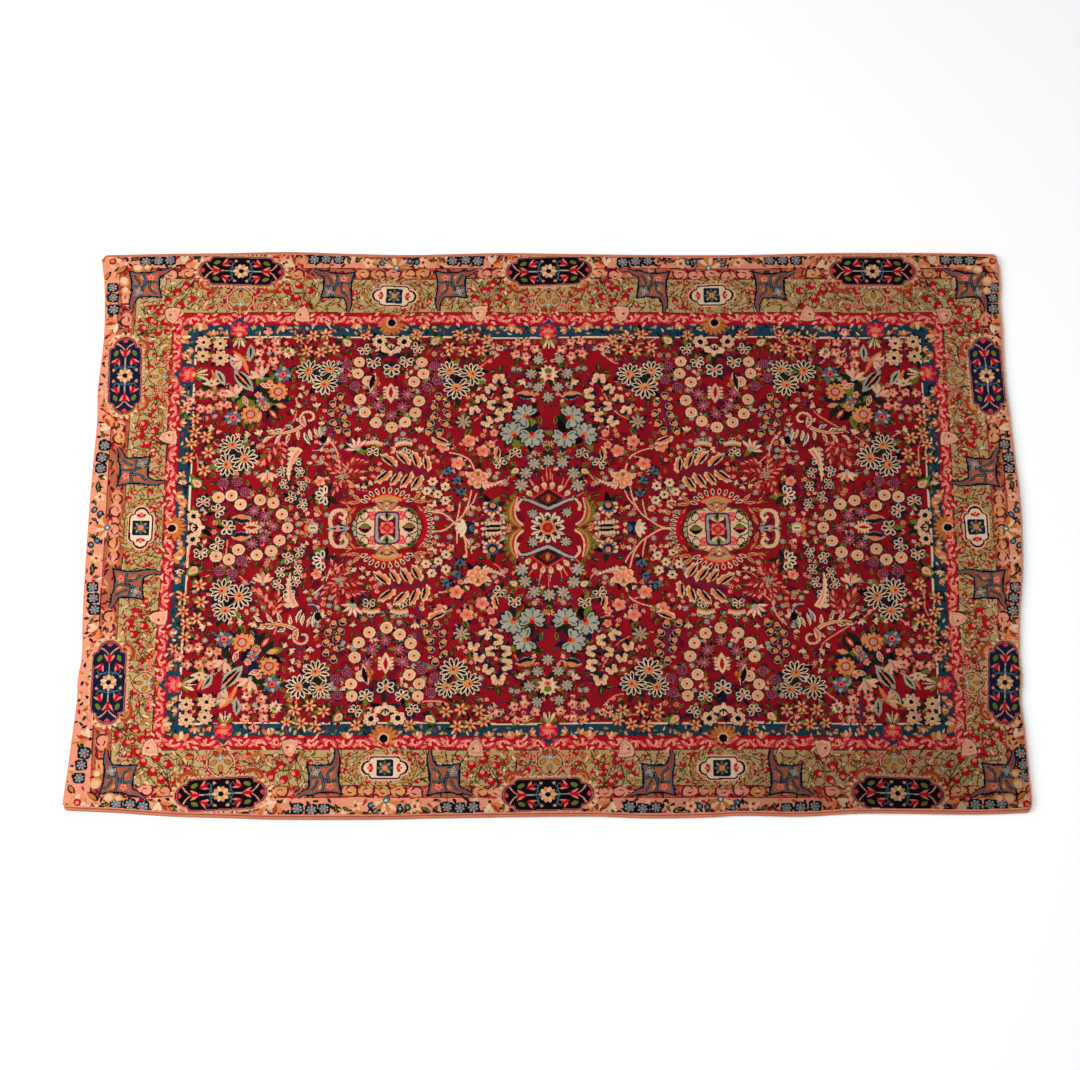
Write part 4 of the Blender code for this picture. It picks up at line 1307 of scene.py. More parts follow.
# Border motifs. Columns: x, y (cm), size, turn, and True where it is flipped.
BORDER = {
    band_leaf: tuple((x, 49.4 + 0.3 * (i % 2), 1.0, 30 * (i % 3))
                     for i, x in enumerate((60.0, 58.8, 56.2, 45.6, 33.4, 29.0, 27.2, 24.4, 17.0, 12.0,
                                            4.6, 68.4, 76.2))),
    band_bud: ((77.8, 48.4, 1.1, 90), (74.6, 48.1, 1.0, 90), (61.9, 49.6, 1.3, -100),
               (44.6, 50.2, 1.2, -80), (9.7, 49.9, 1.4, -90), (7.9, 49.2, 1.1, -60),
               (4.7, 49.0, 1.1, 200), (29.6, 50.0, 1.1, -90), (14.2, 49.7, 1.1, -80),
               (80.7, 50.3, 1.7, -90), (84.2, 47.2, 1.7, 180), (83.9, 42.4, 1.1, 180),
               (82.3, 43.8, 1.0, 0), (82.4, 40.9, 1.0, 0), (84.0, 33.2, 1.1, 180),
               (83.3, 12.0, 1.0, 60), (82.6, 5.0, 1.4, 20), (83.9, 6.6, 1.5, 180),
               (82.9, 2.9, 1.0, 0), (83.8, 25.4, 1.1, 180)),
    scroll_unit: tuple((x, 63.6, 1.05, 0, i % 2 == 0)
                       for i, x in enumerate((88.0, 84.0, 58.6, 43.6, 40.2, 36.6, 33.0, 29.6, 15.4, 12.2)))
    + tuple((97.8, y, 1.15, 90, i % 2 == 0)
            for i, y in enumerate((57.4, 51.2, 24.0, 21.4, 6.2, 3.2, MID_Y + 0.6))),
    rococo_unit: tuple((3.6 + 3.75 * i, 51.8, 1.06, 14 * (i % 3) - 14, i % 2 == 0) for i in range(23))
    + tuple((85.7, 1.6 + 3.75 * i, 1.0, 76 + 14 * (i % 3), i % 2 == 0) for i in range(14)),
    band_carnation: ((71.7, 48.8, 1.0, 90), (82.8, 37.6, 1.0, 0), (MID_X, 48.7, 1.0, 90)),
    band_palmette: ((36.9, 50.4, 1.0, 90), (84.6, MID_Y, 1.0, 0)),
    sprig: ((86.2, 57.6, 1.0, 0, True), (58.6, 58.4, 1.0, 0), (15.4, 58.2, 1.0, 0, True),
            (91.2, 51.4, 1.0, 90), (91.0, 23.0, 1.0, 90, True)),
    paisley: ((87.0, 52.7, 1.0, 0), (57.0, 53.2, 1.0, 0, True), (16.8, 52.9, 1.0, 0),
              (86.8, 21.2, 1.0, 90)),
    bracket: ((49.5, 60.6, 0.92, 0), (93.9, 13.0, 0.92, 90, True)),
    cartouche_hooks: ((71.7, 64.4, 1.0, 0), (MID_X, 64.4, 1.0, 0), (97.1, 37.2, 1.0, -90)),
    crest: ((71.7, 59.2, 1.0, 0), (MID_X, 59.2, 1.0, 0), (91.4, 37.2, 0.9, -90)),
    side_sprig: ((71.7, 57.0, 1.0, 0), (MID_X, 57.0, 1.0, 0), (89.6, 37.2, 1.0, -90)),
    cartouche: ((71.7, 64.4, 1.0, 0), (MID_X, 64.4, 1.0, 0)),
    side_cartouche: ((97.1, 37.2, 1.0, -90),),
    small_cartouche: ((36.5, 58.0, 0.98, 0), (91.8, MID_Y, 0.98, 90)),
    guard_rosette: ((55.1, 67.4, 1.05, 0), (52.2, 67.7, 1.05, 10), (49.4, 67.7, 1.0, 0),
                    (23.0, 67.4, 1.0, 0), (20.2, 67.6, 1.05, 8), (17.4, 67.3, 1.1, 0),
                    (94.0, 67.3, 1.05, 0), (91.2, 67.4, 1.05, 6), (88.2, 67.5, 1.1, 0),
                    (101.5, 60.2, 1.0, 0), (101.3, 57.3, 1.0, 9), (101.0, 54.4, 1.1, 0),
                    (101.0, 19.6, 1.05, 0), (101.4, 16.5, 1.05, 7), (101.5, 13.7, 1.0, 0)),
    guard_leaf: ((47.0, 67.4, 1.0, 90), (44.9, 67.7, 1.0, 150), (33.4, 68.4, 0.8, 20),
                 (29.6, 68.0, 0.7, 160), (27.6, 67.6, 1.1, 170), (25.4, 67.6, 0.9, 60),
                 (85.4, 68.0, 0.9, 60), (81.6, 67.6, 0.9, 90), (96.6, 68.0, 1.1, 10),
                 (101.8, 52.4, 1.0, -50), (101.6, 22.2, 0.9, 70), (101.2, 11.2, 0.9, 20),
                 (102.0, 9.4, 1.3, 100), (102.3, 5.0, 0.8, 60), (102.4, 1.0, 0.8, 20),
                 (99.0, 2.0, 0.7, 60), (102.6, 63.0, 1.0, 100), (103.2, 68.0, 0.8, 20),
                 (39.8, 68.6, 0.7, -20), (58.6, 68.2, 0.9, 30), (14.4, 68.0, 0.8, -30),
                 (61.4, 66.4, 0.7, 90), (11.0, 67.4, 0.8, 90), (98.6, 49.6, 0.8, 90),
                 (98.2, 24.6, 0.8, 80)),
    guard_bloom: ((42.7, 66.9, 1.3, 0), (30.0, 67.0, 1.3, 0), (101.3, 6.6, 1.2, 0)),
    blue_sprig: ((38.9, 67.4, 1.0, 0), (32.4, 67.2, 1.0, 60), (101.8, 2.9, 1.0, 90)),
    guard_fan: ((36.1, 66.4, 1.0, 90), (100.2, MID_Y, 1.0, 0)),
    shoulder_fan: ((84.2, 67.4, 1.0, 120), (60.0, 67.0, 1.0, 60), (13.2, 67.2, 1.0, 120),
                   (101.2, 50.2, 1.0, -20), (100.8, 24.8, 1.0, 40)),
    corner_flower: ((101.6, 67.3, 0.95, 0),),
    corner_pair: ((98.8, 65.2, 1.0, -40), (102.2, 63.6, 0.8, -60)),
    cream_ball: ((95.6, 65.0, 1.0, 0), (98.8, 61.6, 1.1, 60), (93.6, 65.4, 0.7, 0),
                 (98.7, 59.2, 0.8, 90)),
}
MIRRORED_BRACKET = (23.5, 60.6, 0.92, 180, True)
CORNER_BRACKET = (93.8, 60.6, 0.92, 0)
CORNER_HORNS = (((2.6, -2.6), (3.4, -4.8), (3.6, -7.0)), ((-2.6, 3.0), (-4.6, 3.4), (-6.8, 4.6)))

QUARTERS = ((-1, 1), (1, 1), (-1, -1), (1, -1))
DRIFT = 0.10                    # how far a motif strays from its place on the chart, in cm
LEAN = 2.5                      # how much it turns from its place, in degrees


def quarters_of(x, y):
    """The quarters a motif is drawn in: all four, or fewer where it sits on a middle line."""
    return [(sx, sy) for sx, sy in QUARTERS
            if (abs(x - MID_X) > 0.01 or sx == 1) and (abs(y - MID_Y) > 0.01 or sy == 1)]


def draw_placed(shapes, motif, x, y, size, turn, flipped=False, rigid=True, **details):
    """Draw one motif of the chart in each quarter that holds it."""
    for number, (sx, sy) in enumerate(quarters_of(x, y)):
        rng = np.random.default_rng([int(x * 10) + 50, int(y * 10) + 50, number])
        stray = rng.normal(0, DRIFT, 2) * min(1.0, 1.5 / size if size < 4 else 0.3)
        pen = Pen(own := [], rng).at(x + stray[0], y + stray[1], turn + rng.normal(0, LEAN), size, flipped)
        motif(pen, **details)
        anchor = complex(sx * (x - MID_X), sy * (y - MID_Y)) if rigid else None
        for points, wool in own:
            shapes.append((sx * (points.real - MID_X) + 1j * sy * (points.imag - MID_Y), wool, anchor))


def frame_shape(x, y, step=2.5):
    """A rectangle about the rosette, out to x and y on the chart, with points along its sides."""
    u, v = x - MID_X, y - MID_Y
    along = np.linspace(-u, u, int(2 * u / step) + 1)[:-1]
    across = np.linspace(-v, v, int(2 * v / step) + 1)[:-1]
    return np.concatenate((along - 1j * v, u + 1j * across, -along + 1j * v, -u - 1j * across))


GROUNDS = (  # half length, half width (cm), wool
    (OUTER_X + OUTSIDE, OUTER_Y + OUTSIDE, "salmon"), (99.9, 65.2, "wine"), (99.7, 65.0, "clay"),
    (95.8, 62.4, "brown"), (95.6, 62.2, "sage"), (87.1, 53.6, "brown"), (86.9, 53.4, "red"),
    (84.4, 50.3, "wine"), (84.2, 50.1, "teal"), (81.5, 47.2, "ivory"), (81.1, 46.8, "crimson"),
)


def draw_grounds(shapes):
    """The plain ground of each band, from the outer guard in to the field."""
    for x, y, wool in GROUNDS:
        shapes.append((frame_shape(x, y), wool, None))


def draw_shading(shapes):
    """Wine-coloured shadows in the field."""
    rng = np.random.default_rng(11)
    for _ in range(230):
        x, y = rng.uniform(2, 80), rng.uniform(-1, 46)
        for sx, sy in QUARTERS:
            if rng.random() < 0.7:
                points = oval(rng.uniform(0.6, 1.9), rng.uniform(0.5, 1.1), 8, rng.uniform(0, 180))
                points = points + complex(x, y)
                shapes.append((sx * (points.real - MID_X) + 1j * sy * (points.imag - MID_Y), "wine", None))


def shade_leaves(pen):
    """Dark leaves that show from under a flower."""
    first = pen.rng.uniform(0, 360)
    for i, wool in enumerate(("moss", "ink", "leaf", "moss", "moss", "navy", "wine")):
        turn = first + 51 * i + pen.rng.uniform(-15, 15)
        pen.at(0, 0, turn).fill(blade(pen.rng.uniform(1.2, 1.75), 0.62), wool)


FILLER_STEP = 1.3               # cm from one filler of the field to the next
FILLER_ROOM = 0.1               # cm kept clear round a placed motif
FIELD_FILLERS = (  # motif, size (cm)
    (leaf, 1.4), (dark_leaf, 1.5), (dark_leaf, 1.7), (tiny_tulip, 0.7), (dark_leaf, 1.5),
    (small_star, 0.7), (rose, 0.5), (dark_leaf, 1.3), (slate_leaf, 1.2), (grey_aster, 0.7),
)


def draw_fillers(shapes, taken):
    """Small leaves and buds in what is left bare of the field."""
    rng = np.random.default_rng(5)
    spots = np.array([(x, y) for x, y, _ in taken])
    sizes = np.array([size for _, _, size in taken])
    for x in np.arange(2.6, 80.4, FILLER_STEP):
        for y in np.arange(-0.2, 46.2, FILLER_STEP):
            place = np.array((x, y)) + rng.uniform(-0.5, 0.5, 2)
            kind, turn = rng.integers(0, 10), rng.uniform(0, 360)
            clear = np.hypot(*(spots - place).T) - sizes
            if clear.min() < FILLER_ROOM:
                continue
            motif, size = FIELD_FILLERS[kind]
            draw_placed(shapes, motif, place[0], place[1], size, turn)


def ochre_leaf(pen):
    pen.fill(blade(1.12, 0.56), "brown")
    pen.at(0.05, 0).fill(blade(1.0, 0.42), "ochre")


BORDER_FILLERS = (  # motif, size (cm)
    (cream_leaf, 1.2), (ochre_leaf, 1.4), (leaf, 1.3), (rosebud, 0.8), (rosebud, 0.72),
    (ochre_leaf, 1.5), (dark_leaf, 1.1), (rosebud, 0.6),
)


def scatter(shapes, rng, motif, x, y):
    """A motif at a place, turned any way."""
    draw_placed(shapes, motif, x, y, 1.0, rng.uniform(0, 360))


def draw_border_fillers(shapes):
    """Stems, small leaves and cream buds over the green ground and the ochre strip."""
    rng = np.random.default_rng(8)
    spots = []
    for x in np.arange(2.6, 95.5, 1.5):
        spots += [(x + rng.uniform(-0.5, 0.5), y + rng.uniform(-0.7, 0.7))
                  for y in (55.0, 57.0, 59.0, 61.0)]
    for y in np.arange(0.4, 53, 1.5):
        spots += [(x + rng.uniform(-0.7, 0.7), y + rng.uniform(-0.5, 0.5))
                  for x in (88.4, 90.3, 92.2, 94.2)]
    for x, y in spots:
        kind, turn = rng.integers(0, 8), rng.uniform(0, 360)
        motif, size = BORDER_FILLERS[kind]
        bend = rng.uniform(-1, 1)
        draw_placed(shapes, curl_stem, x, y, 1.0, turn, bend=bend)
        draw_placed(shapes, motif, x, y, size, turn)
    for x in np.arange(2, 101, 0.6):
        scatter(shapes, rng, strip_leaf, x, rng.uniform(62.6, 65.0))
        scatter(shapes, rng, guard_bit, x, rng.uniform(65.6, 69.3))
        scatter(shapes, rng, guard_bit, x, rng.uniform(67.8, 68.9))
    for y in np.arange(0, 64, 0.6):
        scatter(shapes, rng, strip_leaf, rng.uniform(96.2, 99.4), y)
        scatter(shapes, rng, guard_bit, rng.uniform(100.3, 103.7), y)
    for x in np.arange(2, 87, 1.0):
        scatter(shapes, rng, band_bit, min(x, 83.6), rng.uniform(47.9, 49.8))
        scatter(shapes, rng, rococo_bit, x, rng.uniform(50.7, 53.0))
    for y in np.arange(0, 50, 1.0):
        scatter(shapes, rng, band_bit, rng.uniform(82.0, 83.8), y)
        scatter(shapes, rng, rococo_bit, rng.uniform(84.8, 86.6), y)


def curl_stem(pen, bend=0.5):
    pen.fill(stroke(((-1.8, bend), (0, -0.4 * bend), (1.8, 0.6 * bend)), 0.2), "brown")
    pen.at(1.0, 0.4, 60).fill(blade(1.1, 0.4), "rust")


def one_leaf(pen, wools, length, width):
    """A small leaf in one of some wools."""
    outline = blade(length, width, pen.rng.uniform(-0.3, 0.3)) - length / 2
    pen.fill(outline, wools[pen.rng.integers(len(wools))])


def strip_leaf(pen):
    one_leaf(pen, ("red", "wine", "rust", "wine", "salmon", "brown", "ochre"), 1.8, 0.62)


def guard_bit(pen):
    one_leaf(pen, ("moss", "navy", "ink", "rust", "cream", "red", "ochre", "moss"), 1.5, 0.7)


def band_bit(pen):
    one_leaf(pen, ("leaf", "moss", "cream", "orange", "red", "ink", "tan"), 1.2, 0.5)


def rococo_bit(pen):
    one_leaf(pen, ("wine", "pink", "red", "blush", "wine", "cream"), 1.3, 0.45)


LARGE_MOTIFS = [(37.0, 1.5, 9.0), (MID_X, 4.0, 8.5), (32.6, 13.2, 4.6), (57.0, 25.0, 4.0)]  # x, y, reach
DRAWN_FIRST = (leaf, dark_leaf, rust_spray, acanthus)
UNSHADED = (leaf, dark_leaf, rosette, medallion, frond, stepped_crest, long_leaf, scroll_arch,
            bead_column, acanthus, lens_flower, white_crown)


def draw_rug():
    """Every shape of the design, lowest first, as points in signed chart centimetres."""
    shapes = []
    draw_grounds(shapes)
    draw_shading(shapes)
    taken = [(x, y, size if size < 4 else 0.45 * size)
             for rows in PLACED.values() for x, y, size, _ in rows]
    taken += LARGE_MOTIFS
    for _, _, *route in BRANCHES:
        taken += [(x, y, 0.3) for x, y in route]
    draw_fillers(shapes, taken)
    for wool, width, *route in BRANCHES:
        draw_placed(shapes, branch, 0.0, 0.0, 1.0, 0.0, False, False, route=route, width=width, wool=wool)
    for motif, rows in PLACED.items():
        for x, y, size, _ in rows:
            if size < 3.2 and motif not in UNSHADED:
                draw_placed(shapes, shade_leaves, x, y, size, 0)
    for motif in sorted(PLACED, key=lambda motif: motif not in DRAWN_FIRST):
        for row in PLACED[motif]:
            draw_placed(shapes, motif, *row)
    draw_border_fillers(shapes)
    for motif, rows in BORDER.items():
        for row in rows:
            draw_placed(shapes, motif, *row)
        if motif is bracket:
            draw_placed(shapes, bracket, *MIRRORED_BRACKET)
            draw_placed(shapes, bracket, *CORNER_BRACKET, long_horn=CORNER_HORNS[0],
                        short_horn=CORNER_HORNS[1])
    return shapes


def branch(pen, route, width, wool):
    pen.fill(stroke(route, width, width * 0.75, per_span=3), wool)


# ---------------------------------------------------------------- from drawing to knots
KNOT = 1.65 * MM                # one knot of the pile
BACK_KNOTS = 4                  # the back shows the design in blocks of this many knots a side
STRIPS = ("pile_near_side", "pile_near", "pile_middle", "pile_far", "pile_far_side")
MARGIN = 0.006                  # room round each half of a strip's map
BACK_HEIGHT = 0.2 * MM          # the back's height over the floor


def fill_rows(grid, x, y, number):
    """Write a shape's number into the knots whose middles it covers. x and y are in knots."""
    next_x, next_y = np.roll(x, -1), np.roll(y, -1)
    way = np.where(next_y > y, 1, -1)
    for row in range(max(0, math.ceil(y.min())), min(len(grid) - 1, math.floor(y.max())) + 1):
        crossed = (y <= row) != (next_y <= row)
        share = (row - y[crossed]) / (next_y[crossed] - y[crossed])
        places = x[crossed] + share * (next_x[crossed] - x[crossed])
        order = np.argsort(places)
        winding = np.cumsum(way[crossed][order])
        places = places[order]
        for start, stop, wound in zip(places, places[1:], winding):
            if wound:
                grid[row, max(0, math.ceil(start)):max(0, math.floor(stop) + 1)] = number


def knot_grid(shapes, outline):
    """The number of the topmost shape at every knot, or -1 off the rug."""
    low, high = CAD_BOX[0], CAD_BOX[1]
    columns, rows = round((high[0] - low[0]) / KNOT), round((high[1] - low[1]) / KNOT)
    corner = np.array((low[0], low[1]))
    grid = np.full((rows, columns), -1, np.int32)
    points = np.concatenate([points for points, _, _ in shapes])
    anchors = np.concatenate([np.full(len(points), np.nan if anchor is None else anchor)
                              for points, _, anchor in shapes])
    free = np.isnan(anchors)
    anchors[free] = points[free]
    x, y = on_rug(anchors.real, anchors.imag)
    offset = (points - anchors) * CM
    cells = (np.stack((x + offset.real, y + offset.imag)) - corner[:, None]) / KNOT - 0.5
    start = 0
    for number, (points, _, _) in enumerate(shapes):
        stop = start + len(points)
        fill_rows(grid, cells[0, start:stop], cells[1, start:stop], number)
        start = stop
    inside = np.zeros_like(grid)
    edge = (outline - corner) / KNOT - 0.5
    fill_rows(inside, edge[:, 0], edge[:, 1], 1)
    grid[inside == 0] = -1
    return grid, corner


def runs_of(grid):
    """Stretches of equal knots along each row: row, first column, end column and number."""
    changed = np.ones(grid.shape, bool)
    changed[:, 1:] = grid[:, 1:] != grid[:, :-1]
    changed[:, grid.shape[1] // 2] = True
    row, first = np.nonzero(changed)
    end = np.append(first[1:], 0)
    end[end == 0] = grid.shape[1]
    number = grid[row, first]
    on = number >= 0
    return row[on], first[on], end[on], number[on]


def knot_mesh(name, grid, corner, pitch, height, colours, material, downward=False):
    """A flat mesh of the grid's runs, its wools kept per corner and its map folded at the middle."""
    row, first, end, number = runs_of(grid)
    left, right = corner[0] + first * pitch, corner[0] + end * pitch
    near, far = corner[1] + row * pitch, corner[1] + (row + 1) * pitch
    order = (0, 3, 2, 1) if downward else (0, 1, 2, 3)
    x = np.stack((left, right, right, left), axis=1)[:, order].ravel()
    y = np.stack((near, near, far, far), axis=1)[:, order].ravel()
    points = np.column_stack((x, y, np.full(len(x), height)))
    piece = new_mesh_object(name, points.tolist(), np.arange(len(x)).reshape(-1, 4).tolist(), material)
    layer = piece.data.color_attributes.new("wool", "FLOAT_COLOR", "CORNER")
    layer.data.foreach_set("color", np.repeat(colours[number], 4, axis=0).ravel())
    middle = corner[0] + (grid.shape[1] // 2) * pitch
    beyond = np.repeat(left >= middle - 1e-6, 4)
    u = np.abs(x - middle) / max(middle - x.min(), x.max() - middle)
    v = (y - y.min()) / (y.max() - y.min())
    flat = np.stack((MARGIN + u * (1 - 2 * MARGIN), 0.5 * beyond + MARGIN + v * (0.5 - 2 * MARGIN)), axis=1)
    piece.data.uv_layers.new(name="OFBake").data.foreach_set("uv", flat.ravel())
    return piece


def new_mesh_object(name, points, faces, material):
    mesh = bpy.data.meshes.new(name)
    mesh.from_pydata(points, [], faces)
    mesh.materials.append(material)
    piece = bpy.data.objects.new(name, mesh)
    bpy.context.collection.objects.link(piece)
    return piece


def shape_colours(shapes):
    """Linear wool colour of each shape, a little uneven, and whether it takes the field's shading."""
    rng = np.random.default_rng(3)
    wools = np.array([WOOL_NAMES.index(wool) for _, wool, _ in shapes])
    tone = rng.normal(1.0, 0.06, len(shapes)).clip(0.82, 1.18)
    tone[:len(GROUNDS)] = 1.0
    ground = np.isin(wools, [WOOL_NAMES.index(name) for name in GROUND])
    return np.concatenate((WOOL_LIGHT[wools] * tone[:, None], ground[:, None]), axis=1)


def make_pile(grid, corner, colours, material):
    """The pile's upper face, as full-length strips."""
    pieces = []
    knotted = np.flatnonzero((grid >= 0).any(axis=1))
    bounds = np.linspace(knotted[0], knotted[-1] + 1, len(STRIPS) + 1).astype(int)
    for name, low, high in zip(STRIPS, bounds, bounds[1:]):
        start = corner + np.array((0.0, low * KNOT))
        pieces.append(knot_mesh(name, grid[low:high], start, KNOT, PILE_TOP, colours, material))
    return pieces


def make_back(grid, corner, colours, material):
    """The underside: the same design in coarser blocks."""
    blocks = grid[BACK_KNOTS // 2::BACK_KNOTS, BACK_KNOTS // 2::BACK_KNOTS]
    return knot_mesh("rug_back", blocks, corner, KNOT * BACK_KNOTS, BACK_HEIGHT, colours, material,
                     downward=True)


# ---------------------------------------------------------------- materials
NOISE_GAIN = 1.6                # stretches noise, which seldom reaches 0 or 1
SHADOW_PURPLE = (84, 10, 36)
BACK_FADE = (190, 160, 130)     # what the back's wools are mixed with

# Painted light and shade over the pile: darker toward +X, lighter at that end, darkest near and right. Places
# are in metres, the rest are shares.
PAINTED_LIGHT_MIDDLE, PAINTED_LIGHT_SLOPE = 0.93, 0.19
# painted light on the end of the pile beyond the field at +X
END_LIFT_FROM, END_LIFT = 0.84, 1.1
NEAR_SHADE_FROM, NEAR_SHADE = 0.2, 0.62
RIGHT_SHADE_FROM = 0.35


def new_material(name, roughness, sheen):
    material = bpy.data.materials.new(name)
    material.use_nodes = True
    shader = material.node_tree.nodes["Principled BSDF"]
    shader.inputs["Roughness"].default_value = roughness
    shader.inputs["Specular IOR Level"].default_value = 0.04
    shader.inputs["Sheen Weight"].default_value = sheen
    return material, material.node_tree, shader


class Nodes:
    """Short calls for the few shader nodes that the materials use."""

    def __init__(self, tree):
        self.tree = tree
        self.place = tree.nodes.new("ShaderNodeTexCoord").outputs["Object"]

    def link(self, source, target):
        if isinstance(source, (int, float, tuple)):
            target.default_value = source
        else:
            self.tree.links.new(source, target)

    def math(self, operation, a, b):
        node = self.tree.nodes.new("ShaderNodeMath")
        node.operation = operation
        self.link(a, node.inputs[0])
        self.link(b, node.inputs[1])
        return node.outputs[0]

    def plus(self, a, b):
        return self.math("ADD", a, b)

    def minus(self, a, b):
        return self.math("SUBTRACT", a, b)

    def times(self, a, b):
        return self.math("MULTIPLY", a, b)

    def scaled(self, scale):
        node = self.tree.nodes.new("ShaderNodeMapping")
        self.link(self.place, node.inputs["Vector"])
        node.inputs["Scale"].default_value = scale
        return node.outputs[0]

    def noise(self, scale, detail=2.0):
        node = self.tree.nodes.new("ShaderNodeTexNoise")
        self.link(self.scaled(scale), node.inputs["Vector"])
        node.inputs["Scale"].default_value = 1.0
        node.inputs["Detail"].default_value = detail
        return node.outputs["Fac"]

    def mix(self, factor, a, b):
        node = self.tree.nodes.new("ShaderNodeMix")
        node.data_type = "RGBA"
        self.link(factor, node.inputs["Factor"])
        self.link(a, node.inputs["A"])
        self.link(b, node.inputs["B"])
        return node.outputs["Result"]

    def tint(self, colour, amount):
        """A colour times a brightness."""
        node = self.tree.nodes.new("ShaderNodeVectorMath")
        node.operation = "SCALE"
        self.link(colour, node.inputs[0])
        self.link(amount, node.inputs["Scale"])
        return node.outputs[0]

    def bump(self, height, strength, distance):
        node = self.tree.nodes.new("ShaderNodeBump")
        node.inputs["Strength"].default_value = strength
        node.inputs["Distance"].default_value = distance
        self.link(height, node.inputs["Height"])
        return node.outputs[0]


def spread(nodes, noise, low, high):
    """Noise, which hovers about a half, stretched to run from low to high."""
    scaled = nodes.times(nodes.minus(noise, 0.5), NOISE_GAIN * (high - low))
    return nodes.plus(scaled, (low + high) / 2)


def wool_attribute(tree):
    """The design's wool and its ground mark, as the mesh carries them."""
    design = tree.nodes.new("ShaderNodeAttribute")
    design.attribute_name = "wool"
    return design.outputs["Color"], design.outputs["Alpha"]


def painted_light_gradient(nodes, tree):
    """Painted light and shade over the rug: darker toward +X, lighter at that end, darkest near and right."""
    side = tree.nodes.new("ShaderNodeSeparateXYZ")
    nodes.link(nodes.place, side.inputs[0])
    along, across = side.outputs["X"], side.outputs["Y"]
    # painted light falloff: the pile's colour darkens toward +X
    falloff = nodes.plus(nodes.times(along, -PAINTED_LIGHT_SLOPE), PAINTED_LIGHT_MIDDLE)
    # painted light: the end beyond the field at +X is made lighter
    lift = nodes.times(nodes.math("MAXIMUM", nodes.minus(along, END_LIFT_FROM), 0.0), END_LIFT)
    near = nodes.math("MAXIMUM", nodes.minus(nodes.times(across, -1.0), NEAR_SHADE_FROM), 0.0)
    right = nodes.plus(along, RIGHT_SHADE_FROM)
    right = nodes.math("MINIMUM", nodes.math("MAXIMUM", right, 0.0), 1.0)
    # painted shade: the pile darkens toward the near right corner
    painted_near_right_shade = nodes.times(nodes.times(near, right), NEAR_SHADE)
    return nodes.minus(nodes.plus(falloff, lift), painted_near_right_shade)


def pile_material():
    """Knotted wool: its colour comes from the design with painted light and shade over it, its grain from the
    knots.
    """
    material, tree, shader = new_material("pile_wool", 0.95, 0.012)
    nodes = Nodes(tree)
    wool, ground = wool_attribute(tree)
    shadow = nodes.math("GREATER_THAN", nodes.noise((26, 26, 26), 3.0), 0.54)
    shade = nodes.times(nodes.times(shadow, ground), 0.30)
    colour = nodes.mix(shade, wool, (*linear(SHADOW_PURPLE), 1.0))
    abrash = spread(nodes, nodes.noise((34, 1.1, 1)), 0.90, 1.10)
    cloud = spread(nodes, nodes.noise((3.2, 3.2, 3.2)), 0.94, 1.06)
    grain = spread(nodes, nodes.noise((760, 620, 700), 1.0), 0.66, 1.30)
    tuft = spread(nodes, nodes.noise((260, 260, 260)), 0.84, 1.14)
    colour = nodes.tint(colour, nodes.times(nodes.times(abrash, cloud), nodes.times(grain, tuft)))
    # painted light and shade laid over the whole pile's colour
    colour = nodes.tint(colour, painted_light_gradient(nodes, tree))
    nodes.link(colour, shader.inputs["Base Color"])
    fine = nodes.times(nodes.noise((620, 500, 600)), 0.6)
    height = nodes.plus(fine, nodes.noise((90, 90, 90)))
    nodes.link(nodes.bump(height, 0.35, 0.0012), shader.inputs["Normal"])
    return material


def plain_wool(name, rgb, variation=0.18):
    """Yarn of one dye, with lighter and darker fibres."""
    material, tree, shader = new_material(name, 0.9, 0.08)
    nodes = Nodes(tree)
    grain = 900
    light = tuple(float(channel) for channel in linear(rgb))
    fibres = nodes.noise((grain, grain, grain))
    amount = nodes.times(spread(nodes, fibres, 1 - variation, 1 + variation),
                         spread(nodes, nodes.noise((40, 40, 40)), 0.88, 1.12))
    nodes.link(nodes.tint(light, amount), shader.inputs["Base Color"])
    nodes.link(nodes.bump(fibres, 0.4, 0.0006), shader.inputs["Normal"])
    return material


def back_material():
    """The rug's back: rows of knots seen from behind, in softer colours."""
    material, tree, shader = new_material("back_knots", 0.95, 0.04)
    nodes = Nodes(tree)
    wool, _ = wool_attribute(tree)
    rows = nodes.noise((500, 700, 500), 1.0)
    colour = nodes.mix(0.35, wool, (*linear(BACK_FADE), 1.0))
    colour = nodes.tint(colour, spread(nodes, rows, 0.7, 1.2))
    nodes.link(colour, shader.inputs["Base Color"])
    nodes.link(nodes.bump(rows, 0.5, 0.0008), shader.inputs["Normal"])
    return material


# ---------------------------------------------------------------- edge, selvedges, warp ends
PILE_TOP = float(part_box("knotted_rug")[1][2])
PILE_ROLL = 3.0 * MM            # the pile rounds over at the edge
SELVEDGE_WIDTH = 6.0 * MM
SELVEDGE_HEIGHT = 7.0 * MM
WRAP_PITCH = 2.6 * MM           # one turn of the overcasting wool
WRAP_SIDES = 9                  # corners of the wrapped cord's section
GAP = 0.3 * MM                  # between the pile and its selvedge, and under the edge


def swept(path, rings, closed=True):
    """Faces between rings of points; each ring has as many points as the path."""
    count = len(path)
    faces = []
    for level in range(len(rings) - 1):
        for i in range(count if closed else count - 1):
            j = (i + 1) % count
            a, b = level * count, (level + 1) * count
            faces.append((a + i, b + i, b + j, a + j))
    return faces


